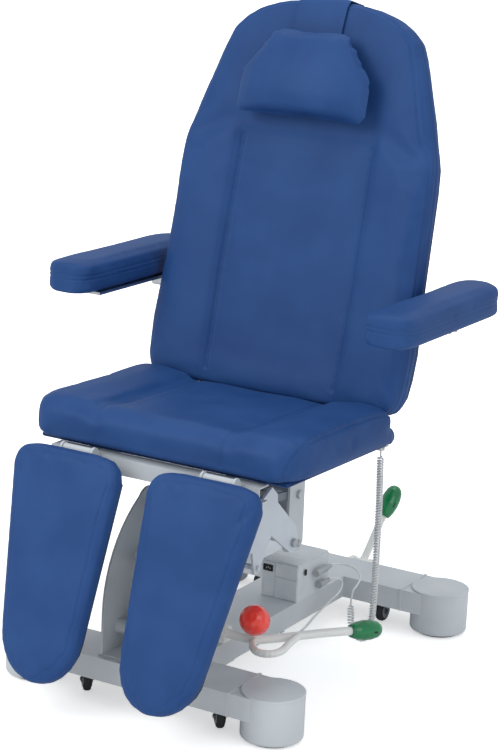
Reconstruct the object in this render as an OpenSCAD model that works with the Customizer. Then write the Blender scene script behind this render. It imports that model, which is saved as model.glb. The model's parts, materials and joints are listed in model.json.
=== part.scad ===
// Podiatry chair: an electric lifting chair on a castor base, with a reclining back,
// swing-up armrests and two separate leg rests.
// X is the sitter's left to right as seen from the front, -Y the front, +Z up.
// The floor is z = 0. Everything is drawn with y = 0 midway between the front and rear feet,
// and centre_y then moves it so that y = 0 is the middle of the whole chair.

/* [Base] */
// Distance between the left and right feet, centre to centre
foot_span_x = 585; // [540:5:640]
// Distance between the front and rear feet, centre to centre
foot_span_y = 757; // [740:1:790]
// Width of the front and rear beams
beam_w = 126; // [120:1:128]
// Height of the folded beams
beam_h = 50; // [44:1:52]
// Underside of the beams above the floor
beam_z = 50; // [48:1:56]
// Wall of the folded beams
beam_wall = 4; // [3:0.5:5]
// Width of the long middle beam
spine_w = 150; // [130:1:170]
// Thickness of the stiffener under the long beam
spine_plate_t = 7; // [4:1:10]

/* [Feet] */
// Diameter of the drum feet
foot_d = 130; // [128:1:150]
// Height of the drum feet with their caps
foot_h = 107; // [104:1:120]
// Wall of the drum feet
foot_wall = 5; // [3:0.5:8]
// Thickness of the rubber pads under the feet
foot_pad_t = 5; // [3:1:8]
// Thickness of the pressed caps on the feet
foot_cap_t = 6; // [4:1:8]

/* [Castors] */
// Distance of each castor from the foot next to it
castor_from_foot = 128.5; // [128:1:142]
// Diameter of the castor wheels
wheel_d = 50; // [46:1:52]
// Width of the castor wheels
wheel_w = 18; // [14:1:22]
// Offset of the wheel axle behind the swivel pin
castor_trail = 30; // [26:1:31]
// Gap between the raised wheels and the floor
castor_lift = 3; // [2:1:4]

/* [Tower] */
// Distance between the two cheeks of the front tower
tower_gap = 176; // [168:1:184]
// Thickness of the tower cheeks
cheek_t = 5; // [4:0.5:7]
// Radius of the curved front edge of the cheeks
cheek_sweep_r = 266; // [250:1:290]
// Diameter of the two tower shafts
shaft_d = 16; // [12:1:18]

/* [Lift] */
// Distance over the outer faces of the two lift arm plates
arm_span = 121; // [116:1:130]
// Thickness of the lift arm plates
arm_t = 6; // [4:0.5:7]
// Distance over the outer faces of the seat hanger
hanger_span = 104; // [100:1:107]
// Thickness of the hanger's sheet
hanger_t = 6; // [4:0.5:7]
// Height of the tie bars of the lift
tie_h = 18; // [14:1:22]
// Thickness of the tie bars
tie_t = 6; // [4:0.5:7]
// Diameter of the actuator's outer tube
ram_d = 42; // [36:1:46]
// Diameter of the actuator's rod
ram_rod_d = 20; // [16:1:24]

/* [Seat] */
// Width of the seat over its side bolsters
seat_w = 650; // [620:1:654]
// Depth of the seat from its front edge to its rear edge
seat_len = 466; // [450:1:480]
// Thickness of the seat cushion at its side bolsters
seat_t = 82; // [74:1:86]
// How far the middle of the seat lies below its bolsters
seat_dip = 17; // [8:1:22]
// Angle by which the seat slopes down to the rear
seat_angle = 1.2; // [0:0.2:2]
// Thickness of the plywood seat board
seat_board_t = 10; // [8:1:15]
// Side of the square seat rails
rail_h = 25; // [20:1:30]

/* [Leg rests] */
// Length of a leg pad
leg_len = 475; // [440:1:490]
// Width of a leg pad at its upper end
leg_w_top = 267; // [240:1:268]
// Width of a leg pad near its lower end
leg_w_low = 196; // [176:1:210]
// Thickness of the leg pad cushions
leg_t = 36; // [30:1:38]
// Thickness of the plywood boards behind the leg pads
leg_board_t = 10; // [8:1:11]
// Forward lean of the hanging leg rests
leg_angle = 18; // [12:0.5:20]

/* [Back] */
// Length of the back cushion
back_len = 868; // [830:1:880]
// Width of the back cushion at its widest
back_w = 654; // [620:1:656]
// Thickness of the back cushion at its bolsters
back_t = 65; // [56:1:68]
// How far the middle panel lies behind the bolsters
back_dip = 18; // [8:1:22]
// Recline of the back from upright in the chair position
back_angle = 13.3; // [10:0.1:15]
// Thickness of the shell behind the back cushion
back_shell_t = 12; // [8:1:15]

/* [Headrest] */
// Height of the headrest pillow
pillow_h = 186; // [150:1:190]
// Width of the headrest pillow at its widest
pillow_w = 322; // [280:1:330]
// Thickness of the headrest pillow
pillow_t = 82; // [60:1:90]
// Width of the strap that holds the pillow
strap_w = 144; // [120:1:150]

/* [Armrests] */
// Length of an armrest pad
armrest_len = 462; // [430:1:480]
// Width of an armrest pad
armrest_w = 114; // [96:1:120]
// Thickness of an armrest pad
armrest_t = 68; // [54:1:72]

/* [Pedals] */
// Diameter of the pedal tubes
pedal_tube_d = 20; // [16:1:22]
// Length of the pedal knobs
knob_len = 80; // [70:1:90]
// Diameter of the pedal knobs
knob_d = 44; // [36:1:48]

/* [Control box] */
// Width of the control box
box_w = 92; // [80:1:92]
// Depth of the control box
box_len = 140; // [120:1:140]
// Height of the control box
box_h = 86; // [70:1:88]

/* [Cords] */
// Diameter of the curly handset cable
curl_cable_d = 4.2; // [3.6:0.1:4.4]
// Radius of the curls at the middle of the cable
curl_r = 5.8; // [5:0.1:6.4]
// Number of curls
curl_count = 50; // [40:1:54]
// Diameter of the thin lead
lead_d = 5; // [4:0.5:6]

/* [Hidden] */
$fn = 48;
overrun = 1;
seat_gap = 0.3;
run_gap = 0.05;
side_gap = 0.6;

beam_y = foot_span_y / 2;
foot_x = foot_span_x / 2;
castor_x = foot_x - castor_from_foot;
beam_top = beam_z + beam_h;
end_plate_t = 6;
end_plate_lip = 2;
foot_edge_r = 7;
cap_edge_r = 2.5;
cap_lip = 1;

// Lift linkage: the two tower pivots, and the same step on to the two hanger pivots
link_step_y = 31;
link_step_z = 103;
tower_low_y = -305;
tower_low_z = 290;
tower_top_y = tower_low_y + link_step_y;
tower_top_z = tower_low_z + link_step_z;
reach_y = 395;
reach_z = -50;
hang_low_y = tower_low_y + reach_y;
hang_low_z = tower_low_z + reach_z;
hang_top_y = hang_low_y + link_step_y;
hang_top_z = hang_low_z + link_step_z;
ram_pin_d = 12;
ram_eye_y = -64;
ram_eye_z = 223;
ram_base_y = -318;
ram_base_z = 134;
ram_pin_gap = 3.9;

// Seat datum: the underside of the cushion at its rear edge
seat_rear_y = 70;
seat_rear_z = 524;
seat_front_y = seat_rear_y - seat_len;
frame_rear_y = 78;
frame_bottom = 486;
leg_hinge_reach = 20;

// Shift of the whole chair that brings the middle of its overall box over the origin
centre_y = 21.7;

// Hinge lines that the moving pieces share
back_hinge_y = 104;
back_hinge_z = 533;
leg_hinge_y = seat_front_y - leg_hinge_reach;
leg_hinge_z = 527;
arm_hinge_y = 165;
arm_hinge_z = 764;
pedal_y = -199;
pedal_z = beam_top + 18;
rear_pedal_y = 459;
rear_pedal_z = 88;

// Back datum: the face of the middle panel above the seat
back_y = 51.5;
back_z = 588;
back_low = -15;
back_lug_x = 218;
leg_lug_in = 131;
leg_lug_out = 207;
leg_gap = 60;

// Shared shapes

// Draws its children and their mirror image across the middle plane
module both_sides() {
    children();
    mirror([1, 0, 0]) children();
}

// A round bar along X between two stations
module bar_x(d, x0, x1, y, z) {
    translate([x0, y, z]) rotate([0, 90, 0]) cylinder(d = d, h = x1 - x0);
}

// A flat plate standing in the YZ plane, cut to the children's outline
module plate_x(x0, t) {
    translate([x0, 0, 0]) rotate([90, 0, 90]) linear_extrude(t) children();
}

// A disc in an outline at a place
module disc_at(r, y, z) {
    translate([y, z]) circle(r = r);
}

// Turns the Z axis of its children towards the second point
module along(p0, p1) {
    d = p1 - p0;
    translate(p0) rotate([0, acos(d[2] / norm(d)), atan2(d[1], d[0])]) children();
}

// The last points of a tube that runs straight into a knob
function straight_in(neck, tip, step) = [neck - 2 * step * unit(tip - neck), neck - step * unit(tip - neck), neck];

// A bent round tube through a route's points, with soft bends
module bent_tube(points, d) {
    pts = smooth_route(points, 3);
    last = len(pts) - 1;
    loft([for (i = [0 : last]) let (
        w = unit(pts[min(i + 1, last)] - pts[max(i - 1, 0)]),
        e = unit(cross(w, [0.1, 0.3, 1])), f = cross(w, e)
    ) ring_about(pts[i], e, f, d / 2, 12)]);
}

function unit(v) = v / norm(v);
function clamp(v, low, high) = max(low, min(high, v));

// How much of a rounded end is missing at a distance from its tip
function end_loss(d, r) = d >= r ? 0 : r - sqrt(max(0, r * r - (r - d) * (r - d)));

// Triangles between two neighbouring rings of a loft
function ring_faces(i, n) = [
    for (j = [0 : n - 1]) each [
        [i * n + j, i * n + (j + 1) % n, (i + 1) * n + j],
        [i * n + (j + 1) % n, (i + 1) * n + (j + 1) % n, (i + 1) * n + j]
    ]
];

// A closed skin over rings of equal count, with a flat fan on each end, spread from mid-ring
module loft(rings) {
    n = len(rings[0]);
    m = len(rings);
    last = (m - 1) * n;
    hub = n / 2;
    polyhedron(
        points = [for (r = rings) each r],
        faces = concat(
            [for (i = [0 : m - 2]) each ring_faces(i, n)],
            [for (j = [1 : n - 2]) [hub, (hub + j + 1) % n, (hub + j) % n]],
            [for (j = [1 : n - 2]) [last + hub, last + (hub + j) % n, last + (hub + j + 1) % n]]
        )
    );
}

// Closes half of a section into a ring, from its middle top point to its middle bottom point
function whole_ring(half) = concat(
    half,
    [for (i = [len(half) - 2 : -1 : 1]) [-half[i][0], half[i][1]]]
);

// Section of a plain pad: crowned face, rounded edges and sides drawn in
function pad_section(w, t, crown, r) =
    let (e = min(r, w / 2.4, t / 2.8), draw = 0.12 * e)
    whole_ring([
        [0, t + crown],
        [0.5 * w, t + 0.8 * crown],
        [w - 1.4 * e, t + 0.35 * crown],
        [w - 0.35 * e, t - 0.2 * e],
        [w, t - e],
        [w - draw, t / 2],
        [w, 0.7 * e],
        [w - 0.3 * e, 0.12 * e],
        [w - 1.1 * e, 0],
        [0, 0]
    ]);

// Section of a seat or back cushion: middle panel, sewn channel and side bolster
function bolster_section(w, t, dip, seam, channel, r) =
    let (s = min(seam, 0.6 * w), e = min(r, w / 6, t / 2.8))
    whole_ring([
        [0, t - dip],
        [0.55 * s, t - dip + 0.08 * e],
        [s - 0.6 * e, t - dip - 0.05 * e],
        [s, t - dip - channel],
        [s + 0.6 * e, t - 0.45 * dip],
        [0.5 * (s + w), t],
        [w - 1.2 * e, t - 0.1 * e],
        [w - 0.3 * e, t - 0.45 * e],
        [w, t - 1.3 * e],
        [w - 0.12 * e, 0.5 * t],
        [w, 0.7 * e],
        [w - 0.35 * e, 0.1 * e],
        [w - 1.2 * e, 0],
        [0, 0]
    ]);

// Base

// Outline of a drum foot with its rounded lower edge
module foot_outline() {
    r = foot_d / 2;
    polygon(concat(
        [[0, foot_pad_t]],
        [for (a = [-90 : 15 : 0])
            [r - foot_edge_r + foot_edge_r * cos(a), foot_pad_t + foot_edge_r + foot_edge_r * sin(a)]],
        [[r, foot_h - foot_cap_t], [0, foot_h - foot_cap_t]]
    ));
}

module at_feet() {
    for (sx = [-1, 1], sy = [-1, 1]) translate([sx * foot_x, sy * beam_y, 0]) children();
}

module base_frame() {
    end_plate_x = foot_x - foot_d / 2 - end_plate_t - 1.2 * cap_lip;
    spine_len = foot_span_y - beam_w;
    stiff_len = spine_len / 4;
    color("gainsboro") difference() {
        union() {
            at_feet() rotate_extrude() foot_outline();
            for (sy = [-1, 1]) translate([-foot_x, sy * beam_y - beam_w / 2, beam_z])
                cube([foot_span_x, beam_w, beam_h]);
            for (sx = [-1, 1], sy = [-1, 1])
                translate([sx * (end_plate_x + end_plate_t / 2) - end_plate_t / 2,
                           sy * beam_y - beam_w / 2 - end_plate_lip, beam_z])
                cube([end_plate_t, beam_w + 2 * end_plate_lip, beam_h + end_plate_lip]);
            translate([-spine_w / 2, -spine_len / 2 - beam_wall / 2, beam_z])
                cube([spine_w, spine_len + beam_wall, beam_h]);
            translate([-spine_w / 2 + end_plate_t, -spine_len / 2, beam_z - spine_plate_t])
                cube([spine_w - 2 * end_plate_t, stiff_len, spine_plate_t + overrun]);
            translate([lead_gland[0], lead_gland[1], lead_gland[2]])
                cylinder(r = gland_r, h = beam_z - lead_gland[2] + overrun);
        }
        at_feet() translate([0, 0, foot_pad_t + foot_wall]) cylinder(d = foot_d - 2 * foot_wall, h = foot_h);
        for (sy = [-1, 1]) translate([-end_plate_x, sy * beam_y - beam_w / 2 + beam_wall, -overrun])
            cube([2 * end_plate_x, beam_w - 2 * beam_wall, beam_top - beam_wall + overrun]);
        translate([-spine_w / 2 + beam_wall, -spine_len / 2 + beam_wall, beam_z + beam_wall])
            cube([spine_w - 2 * beam_wall, spine_len - 2 * beam_wall, beam_h - 2 * beam_wall]);
    }
}

module foot_caps() {
    r = foot_d / 2 + cap_lip;
    z0 = foot_h - foot_cap_t;
    color("gainsboro") at_feet() rotate_extrude() polygon(concat(
        [[0, z0], [r, z0]],
        [for (a = [0 : 30 : 90]) [r - cap_edge_r + cap_edge_r * cos(a), foot_h - 2 * cap_edge_r + cap_edge_r * sin(a)]],
        [[r / 2, foot_h - cap_edge_r / 2], [0, foot_h]]
    ));
}

module foot_pads() {
    color("dimgray") at_feet() cylinder(d = foot_d - 4 * foot_edge_r, h = foot_pad_t);
}

// Front tower

// Outline of a cheek: upright foot, swept-back front edge and a round head at the top pivot
module cheek_outline() {
    front_y = -beam_y - beam_w / 2 + 2 * end_plate_t;
    sweep_z = tower_low_z - 100;
    head_r = 38;
    polygon(concat(
        [[front_y, beam_top]],
        [for (a = [0 : 5.8 : 58]) [front_y + cheek_sweep_r * (1 - cos(a)), sweep_z + cheek_sweep_r * sin(a)]],
        [[tower_top_y, tower_top_z],
         [tower_top_y + head_r, tower_top_z - 0.2 * head_r],
         [tower_low_y + 1.1 * head_r, tower_low_z],
         [-beam_y + beam_w / 2 + 2 * cheek_t, beam_top + head_r],
         [-beam_y + beam_w / 2, beam_top]]
    ));
    disc_at(head_r, tower_top_y, tower_top_z);
}

module front_tower() {
    foot_len = beam_w - 4 * end_plate_t;
    brace_d = 30;
    color("lightgray") {
        both_sides() plate_x(tower_gap / 2, cheek_t) cheek_outline();
        translate([-tower_gap / 2 - 2 * cheek_t, -beam_y - foot_len / 2, beam_top])
            cube([tower_gap + 4 * cheek_t, foot_len, cheek_t]);
        bar_x(brace_d, -tower_gap / 2, tower_gap / 2, tower_low_y - 2.2 * brace_d, beam_top + 1.7 * brace_d);
        bar_x(shaft_d, -tower_gap / 2 - cheek_t, tower_gap / 2 + cheek_t, tower_low_y, tower_low_z);
        bar_x(shaft_d, -tower_gap / 2 - cheek_t, tower_gap / 2 + cheek_t, tower_top_y, tower_top_z);
    }
}

module tower_caps() {
    cap_t = 5;
    color("black") both_sides() for (p = [[tower_low_y, tower_low_z], [tower_top_y, tower_top_z]])
        bar_x(1.8 * shaft_d, tower_gap / 2 + cheek_t, tower_gap / 2 + cheek_t + cap_t, p[0], p[1]);
}

// Clevis on the beam that carries the lower end of the actuator
module ram_bracket() {
    ear_t = 6;
    ear_gap = ram_d + 2 * side_gap;
    ear_w = 34;
    color("gainsboro") {
        both_sides() plate_x(ear_gap / 2, ear_t) {
            polygon([
                [ram_base_y - ear_w, beam_top + cheek_t], [ram_base_y + ear_w, beam_top + cheek_t],
                [ram_base_y + ear_w / 2, ram_base_z], [ram_base_y - ear_w / 2, ram_base_z]
            ]);
            disc_at(ear_w / 2, ram_base_y, ram_base_z);
        }
        translate([-ear_gap / 2 - 2 * ear_t, ram_base_y - ear_w, beam_top + cheek_t])
            cube([ear_gap + 4 * ear_t, 2 * ear_w, ear_t / 2]);
        bar_x(ram_pin_d, -ear_gap / 2 - 2 * ear_t, ear_gap / 2 + 2 * ear_t, ram_base_y, ram_base_z);
    }
}

// Control box

box_x = spine_w / 2 - box_w;
box_y = 96;
socket_y = box_y + box_len / 2;
socket_z = beam_top + 0.62 * box_h;
cover_t = 3;

module control_box() {
    edge = 4;
    color("lightsteelblue") difference() {
        union() {
            translate([box_x, box_y, beam_top]) cube([box_w, box_len, box_h - edge]);
            translate([box_x + edge / 2, box_y + edge / 2, beam_top])
                cube([box_w - edge, box_len - edge, box_h]);
            for (i = [0, 1]) translate([box_x + box_w, socket_y + i * 2 * plug_d, socket_z])
                rotate([0, 90, 0]) cylinder(d = plug_d - 2 * cover_t, h = cover_t);
        }
        translate([box_x - overrun, box_y + 0.3 * box_len, beam_top + box_h - edge])
            cube([box_w + 2 * overrun, edge / 4, 2 * edge]);
    }
}

module control_box_cover() {
    split_x = box_x + 0.37 * box_w;
    inlet_w = 22;
    inlet_h = 14;
    groove = 1;
    color("lightgray") difference() {
        translate([box_x + groove, box_y - cover_t, beam_top + groove]) cube([box_w - 2 * groove, cover_t, box_h - 5 * groove]);
        translate([split_x, box_y - cover_t - overrun, beam_top]) cube([groove, cover_t / 2 + overrun, box_h]);
        translate([split_x, box_y - cover_t - overrun, beam_top + 0.58 * box_h])
            cube([box_w, cover_t / 2 + overrun, groove]);
        translate([box_x + 3 * groove, box_y - cover_t - overrun, beam_top + 0.72 * box_h])
            cube([inlet_w, cover_t / 2 + overrun, inlet_h]);
    }
}

// Cord ends

plug_d = 16;
plug_len = 46;
relief_len = 24;
gland_r = 7;
lead_gland = [58, 62, 38];
plug_x = box_x + box_w + cover_t + plug_d / 2;

// Where the two right-angle plugs end and their cords begin
curl_exit = [plug_x, socket_y + plug_len + relief_len - plug_d / 2, socket_z];
lead_exit = [plug_x, socket_y - plug_d / 2 + 4 * plug_d, socket_z - 2 * plug_d];

// A moulded right-angle plug lying along the side of the box, pointing to the rear
module right_angle_plug(y, z, len, cable_d) {
    translate([plug_x, y - plug_d / 2, z]) rotate([-90, 0, 0]) {
        cylinder(d = plug_d, h = len);
        translate([0, 0, len]) cylinder(d1 = plug_d - cover_t, d2 = cable_d + 1.5 * cover_t, h = relief_len);
    }
}

module cord_plugs() {
    color("silver") right_angle_plug(socket_y, socket_z, plug_len, curl_cable_d);
    color("silver") right_angle_plug(socket_y + 4 * plug_d - relief_len - plug_len / 2, socket_z - 2 * plug_d,
        plug_len / 2, lead_d);
}

// Pedals

// A smooth egg-shaped foot knob, its neck at the origin and its axis along Z
module foot_knob(wide = knob_d, long = knob_len) {
    neck_r = pedal_tube_d / 2 + 3;
    tip_share = [[0, 0], [0, 0.62], [0.06, 0.72], [0.2, 0.88], [0.42, 1], [0.64, 0.98],
                 [0.82, 0.84], [0.92, 0.64], [0.98, 0.36], [1, 0]];
    rotate_extrude($fn = 32) polygon([
        for (s = tip_share) [max(s[1] * wide / 2, s[0] == 0 && s[1] > 0 ? neck_r : 0), s[0] * long]
    ]);
}

lever_root = [139, pedal_y, pedal_z];
lever_bend = [178, pedal_y + 42, pedal_z + 1];
lever_mid = [232, pedal_y + 104, pedal_z + 4];
green_neck = [281, pedal_y + 164, pedal_z + 3];
green_tip = [317, pedal_y + 235, pedal_z - 6];
red_neck = [152, pedal_y - 8, pedal_z + 42];
red_tip = [168, pedal_y - 66, pedal_z + 78];
red_knob_d = 64;
red_knob_len = 72;
stirrup = [
    lever_root, [154, pedal_y - 32, pedal_z], [180, pedal_y - 55, pedal_z], [207, pedal_y - 48, pedal_z],
    [217, pedal_y - 18, pedal_z], [210, pedal_y + 24, pedal_z + 1], lever_bend + 0.5 * (lever_mid - lever_bend)
];

module front_pedal_tube() {
    color("ivory") {
        bar_x(pedal_tube_d, -lever_root[0], lever_root[0], pedal_y, pedal_z);
        both_sides() {
            bent_tube(concat([lever_root - [12, 1, 0], lever_root + [4, 4, 0], lever_bend, lever_mid],
                straight_in(green_neck, green_tip, 9)), pedal_tube_d - 1);
            bent_tube(concat([lever_root - [12, 1, 1], lever_root + [1, 3, 14]],
                straight_in(red_neck, red_tip, 7)), pedal_tube_d - 2);
            bent_tube(stirrup, 0.8 * pedal_tube_d);
        }
    }
}

module front_green_knobs() {
    color("green") both_sides() along(green_neck, green_tip) foot_knob();
}

module front_red_knobs() {
    color("red") both_sides() along(red_neck, red_tip) foot_knob(red_knob_d, red_knob_len);
}

module pedal_bearings() {
    block_w = 24;
    block_y = 17;
    color("ivory") both_sides() difference() {
        union() {
            bar_x(2 * block_y, spine_w / 2 - block_w, spine_w / 2, pedal_y, pedal_z);
            translate([spine_w / 2 - block_w, pedal_y - block_y, beam_top]) cube([block_w, 2 * block_y, pedal_z - beam_top]);
        }
        bar_x(pedal_tube_d + 2 * run_gap, spine_w / 2 - block_w - overrun, spine_w / 2 + overrun, pedal_y, pedal_z);
    }
    color("gainsboro") difference() {
        translate([rear_x - rear_half, beam_y + beam_w / 2, rear_pedal_z - rear_ear])
            cube([2 * rear_half, rear_pedal_y - beam_y - beam_w / 2 + rear_ear, 2 * rear_ear]);
        translate([rear_x - rear_slot / 2, beam_y + beam_w / 2 + cheek_t, rear_pedal_z - rear_ear - overrun])
            cube([rear_slot, 3 * rear_ear + overrun, 2 * rear_ear + 2 * overrun]);
        bar_x(ram_pin_d + 2 * run_gap, rear_x - rear_half - overrun, rear_x + rear_half + overrun,
            rear_pedal_y, rear_pedal_z);
    }
}

rear_x = 45;
rear_half = 30;
rear_slot = 34;
rear_ear = 10;
rear_neck = [rear_x + 20, rear_pedal_y + 61, rear_pedal_z + 104];
rear_tip = [rear_x + 31, rear_pedal_y + 106, rear_pedal_z + 171];

module rear_pedal_tube() {
    bend = [rear_x, rear_pedal_y + 20, rear_pedal_z + 10];
    hub_half = rear_slot / 2 - side_gap;
    color("ivory") {
        bar_x(ram_pin_d, rear_x - rear_half - 3, rear_x + rear_half + 3, rear_pedal_y, rear_pedal_z);
        bar_x(pedal_tube_d, rear_x - hub_half, rear_x + hub_half, rear_pedal_y, rear_pedal_z);
        bent_tube(concat([[rear_x, rear_pedal_y - 3, rear_pedal_z], bend], straight_in(rear_neck, rear_tip, 9)),
            pedal_tube_d - 2);
    }
}

module rear_green_knob() {
    color("green") along(rear_neck, rear_tip) foot_knob();
}

// Castors, drawn at the swivel pin with the trail along +X

axle_d = 8;
pin_d = 10;
axle_z = castor_lift + wheel_d / 2;
fork_t = 2.5;
fork_top = 72;
carrier_z = 78;
carrier_t = 6;
fork_half = wheel_w / 2 + side_gap;

module castor_at(sx, sy) {
    turn = sy < 0 ? -50 : -90;
    translate([sx * castor_x, sy * beam_y, 0]) rotate([0, 0, turn]) children();
}

module castor_carrier() {
    plate_d = 44;
    ceiling = beam_top - beam_wall - seat_gap;
    color("silver") difference() {
        union() {
            translate([0, 0, carrier_z]) cylinder(d = plate_d, h = carrier_t);
            translate([0, 0, carrier_z + carrier_t]) cylinder(d = plate_d / 2, h = ceiling - carrier_z - carrier_t);
        }
        translate([0, 0, carrier_z - overrun]) cylinder(d = pin_d + 2 * run_gap, h = ceiling);
    }
}

module castor_fork() {
    head_r = 17;
    ear_r = 8;
    color("dimgray") {
        translate([0, 0, fork_top]) cylinder(d = pin_d, h = beam_top - beam_wall - 2 * side_gap - fork_top);
        translate([0, 0, fork_top]) cylinder(d = 2 * pin_d, h = carrier_z - side_gap - fork_top);
        translate([0, 0, fork_top - 2 * fork_t]) cylinder(r = head_r, h = 2 * fork_t);
        for (s = [-1, 1]) translate([0, s * (fork_half + fork_t / 2) + fork_t / 2, 0]) rotate([90, 0, 0]) linear_extrude(fork_t) {
            polygon([[-head_r / 2, fork_top], [head_r * 0.8, fork_top], [castor_trail + ear_r, axle_z],
                     [castor_trail - ear_r, axle_z], [-head_r / 2, fork_top - 4 * fork_t]]);
            disc_at(ear_r, castor_trail, axle_z);
        }
        translate([castor_trail, fork_half + 2 * fork_t, axle_z]) rotate([90, 0, 0])
            cylinder(d = axle_d, h = 2 * fork_half + 4 * fork_t);
    }
}

module castor_wheel() {
    r = wheel_d / 2;
    w = wheel_w / 2;
    bore = axle_d / 2 + run_gap;
    rim = 0.62 * r;
    color("black") translate([castor_trail, 0, axle_z]) rotate([90, 0, 0]) rotate_extrude() polygon([
        [bore, -w], [0.4 * r, -w], [rim, -0.5 * w], [rim + 2, -0.8 * w], [0.9 * r, -0.85 * w], [r, -0.45 * w],
        [r, 0.45 * w], [0.9 * r, 0.85 * w], [rim + 2, 0.8 * w], [rim, 0.5 * w], [0.4 * r, w], [bore, w]
    ]);
}

// Lift linkage

// Outline of a lift arm plate: dog-leg from the tower to the hanger, with a leg for the actuator
module lift_arm_outline() {
    root_r = 22;
    eye_r = 14;
    end_r = 23;
    apex_y = -12;
    apex_z = 393;
    polygon([
        [tower_low_y, tower_low_z + root_r], [tower_low_y + 115, tower_low_z + 1.2 * root_r],
        [apex_y - 46, apex_z - 22], [apex_y, apex_z], [apex_y + 24, apex_z - 21],
        [apex_y + 27, apex_z - 41], [hang_low_y + 14, hang_low_z + 34],
        [hang_low_y + end_r, hang_low_z], [hang_low_y - 18, hang_low_z - 15],
        [ram_eye_y + 57, ram_eye_z + 58], [ram_eye_y + eye_r, ram_eye_z],
        [ram_eye_y - eye_r, ram_eye_z], [ram_eye_y - 22, ram_eye_z + 40],
        [tower_low_y + 115, tower_low_z - root_r], [tower_low_y, tower_low_z - root_r]
    ]);
    disc_at(root_r, tower_low_y, tower_low_z);
    disc_at(eye_r, ram_eye_y, ram_eye_z);
    disc_at(end_r, hang_low_y, hang_low_z);
}

module lift_arm() {
    hub_d = shaft_d + 14;
    brace_d = 24;
    pin_out = arm_span / 2 + 5;
    color("whitesmoke") difference() {
        union() {
            both_sides() plate_x(arm_span / 2 - arm_t, arm_t) lift_arm_outline();
            bar_x(hub_d, -tower_gap / 2 + side_gap, tower_gap / 2 - side_gap, tower_low_y, tower_low_z);
            bar_x(brace_d, -arm_span / 2 + arm_t / 2, arm_span / 2 - arm_t / 2, tower_low_y + 150, tower_low_z - 18);
            bar_x(ram_pin_d, -pin_out, pin_out, ram_eye_y, ram_eye_z);
        }
        bar_x(shaft_d + 2 * run_gap, -tower_gap / 2, tower_gap / 2, tower_low_y, tower_low_z);
        bar_x(ram_pin_d + 2 * run_gap, -arm_span, arm_span, hang_low_y, hang_low_z);
    }
}

module tie_bars() {
    x_out = hanger_span / 2 - hanger_t - side_gap;
    hub_d = shaft_d + 10;
    color("dimgray") difference() {
        union() {
            both_sides() plate_x(x_out - tie_t, tie_t) {
                polygon([
                    [tower_top_y, tower_top_z - tie_h / 2], [hang_top_y, hang_top_z - tie_h / 2],
                    [hang_top_y, hang_top_z + tie_h / 2], [tower_top_y, tower_top_z + tie_h / 2]
                ]);
                disc_at(hub_d / 2, tower_top_y, tower_top_z);
                disc_at(0.6 * tie_h, hang_top_y, hang_top_z);
            }
            bar_x(hub_d, -x_out, x_out, tower_top_y, tower_top_z);
        }
        bar_x(shaft_d + 2 * run_gap, -x_out - overrun, x_out + overrun, tower_top_y, tower_top_z);
        bar_x(ram_pin_d + 2 * run_gap, -x_out - overrun, x_out + overrun, hang_top_y, hang_top_z);
    }
}

// The actuator's own frame has its lower pin at the origin and its axis along +Z
ram_v = [0, ram_eye_y - ram_base_y, ram_eye_z - ram_base_z];
ram_len = norm(ram_v);
ram_tube_len = 0.74 * ram_len;

module in_ram() {
    along([0, ram_base_y, ram_base_z], [0, ram_eye_y, ram_eye_z]) rotate([0, 0, 90]) children();
}

module ram_tube() {
    motor_w = 0.95 * ram_d;
    eye_r = 14;
    color("silver") in_ram() difference() {
        union() {
            rotate([90, 0, 90]) translate([0, 0, -ram_d / 2]) cylinder(r = eye_r, h = ram_d);
            translate([0, 0, eye_r / 2]) cylinder(d = ram_d, h = ram_tube_len - eye_r / 2);
            translate([-motor_w / 2, 0, eye_r * 1.5]) rotate([-12, 0, 0]) cube([motor_w, 1.35 * ram_d, 0.42 * ram_tube_len]);
        }
        rotate([90, 0, 90]) translate([0, 0, -ram_d]) cylinder(d = ram_pin_d + 2 * run_gap, h = 2 * ram_d);
        translate([0, 0, 3 * eye_r]) cylinder(d = ram_rod_d + 2 * run_gap, h = ram_len);
    }
}

module ram_rod() {
    eye_r = 16;
    eye_w = 0.8 * ram_rod_d;
    color("silver") in_ram() difference() {
        union() {
            translate([0, 0, 0.36 * ram_len]) cylinder(d = ram_rod_d, h = 0.64 * ram_len - eye_r / 2);
            rotate([90, 0, 90]) translate([0, ram_len, -eye_w / 2]) cylinder(r = eye_r, h = eye_w);
        }
        rotate([90, 0, 90]) translate([0, ram_len, -ram_rod_d]) cylinder(d = ram_pin_d + 2 * ram_pin_gap, h = 2 * ram_rod_d);
    }
}

// Seat

// Places its children in the seat's own frame: origin at the rear edge of the cushion's underside
module on_seat() {
    translate([0, seat_rear_y, seat_rear_z]) rotate([-seat_angle, 0, 0]) children();
}

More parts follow.
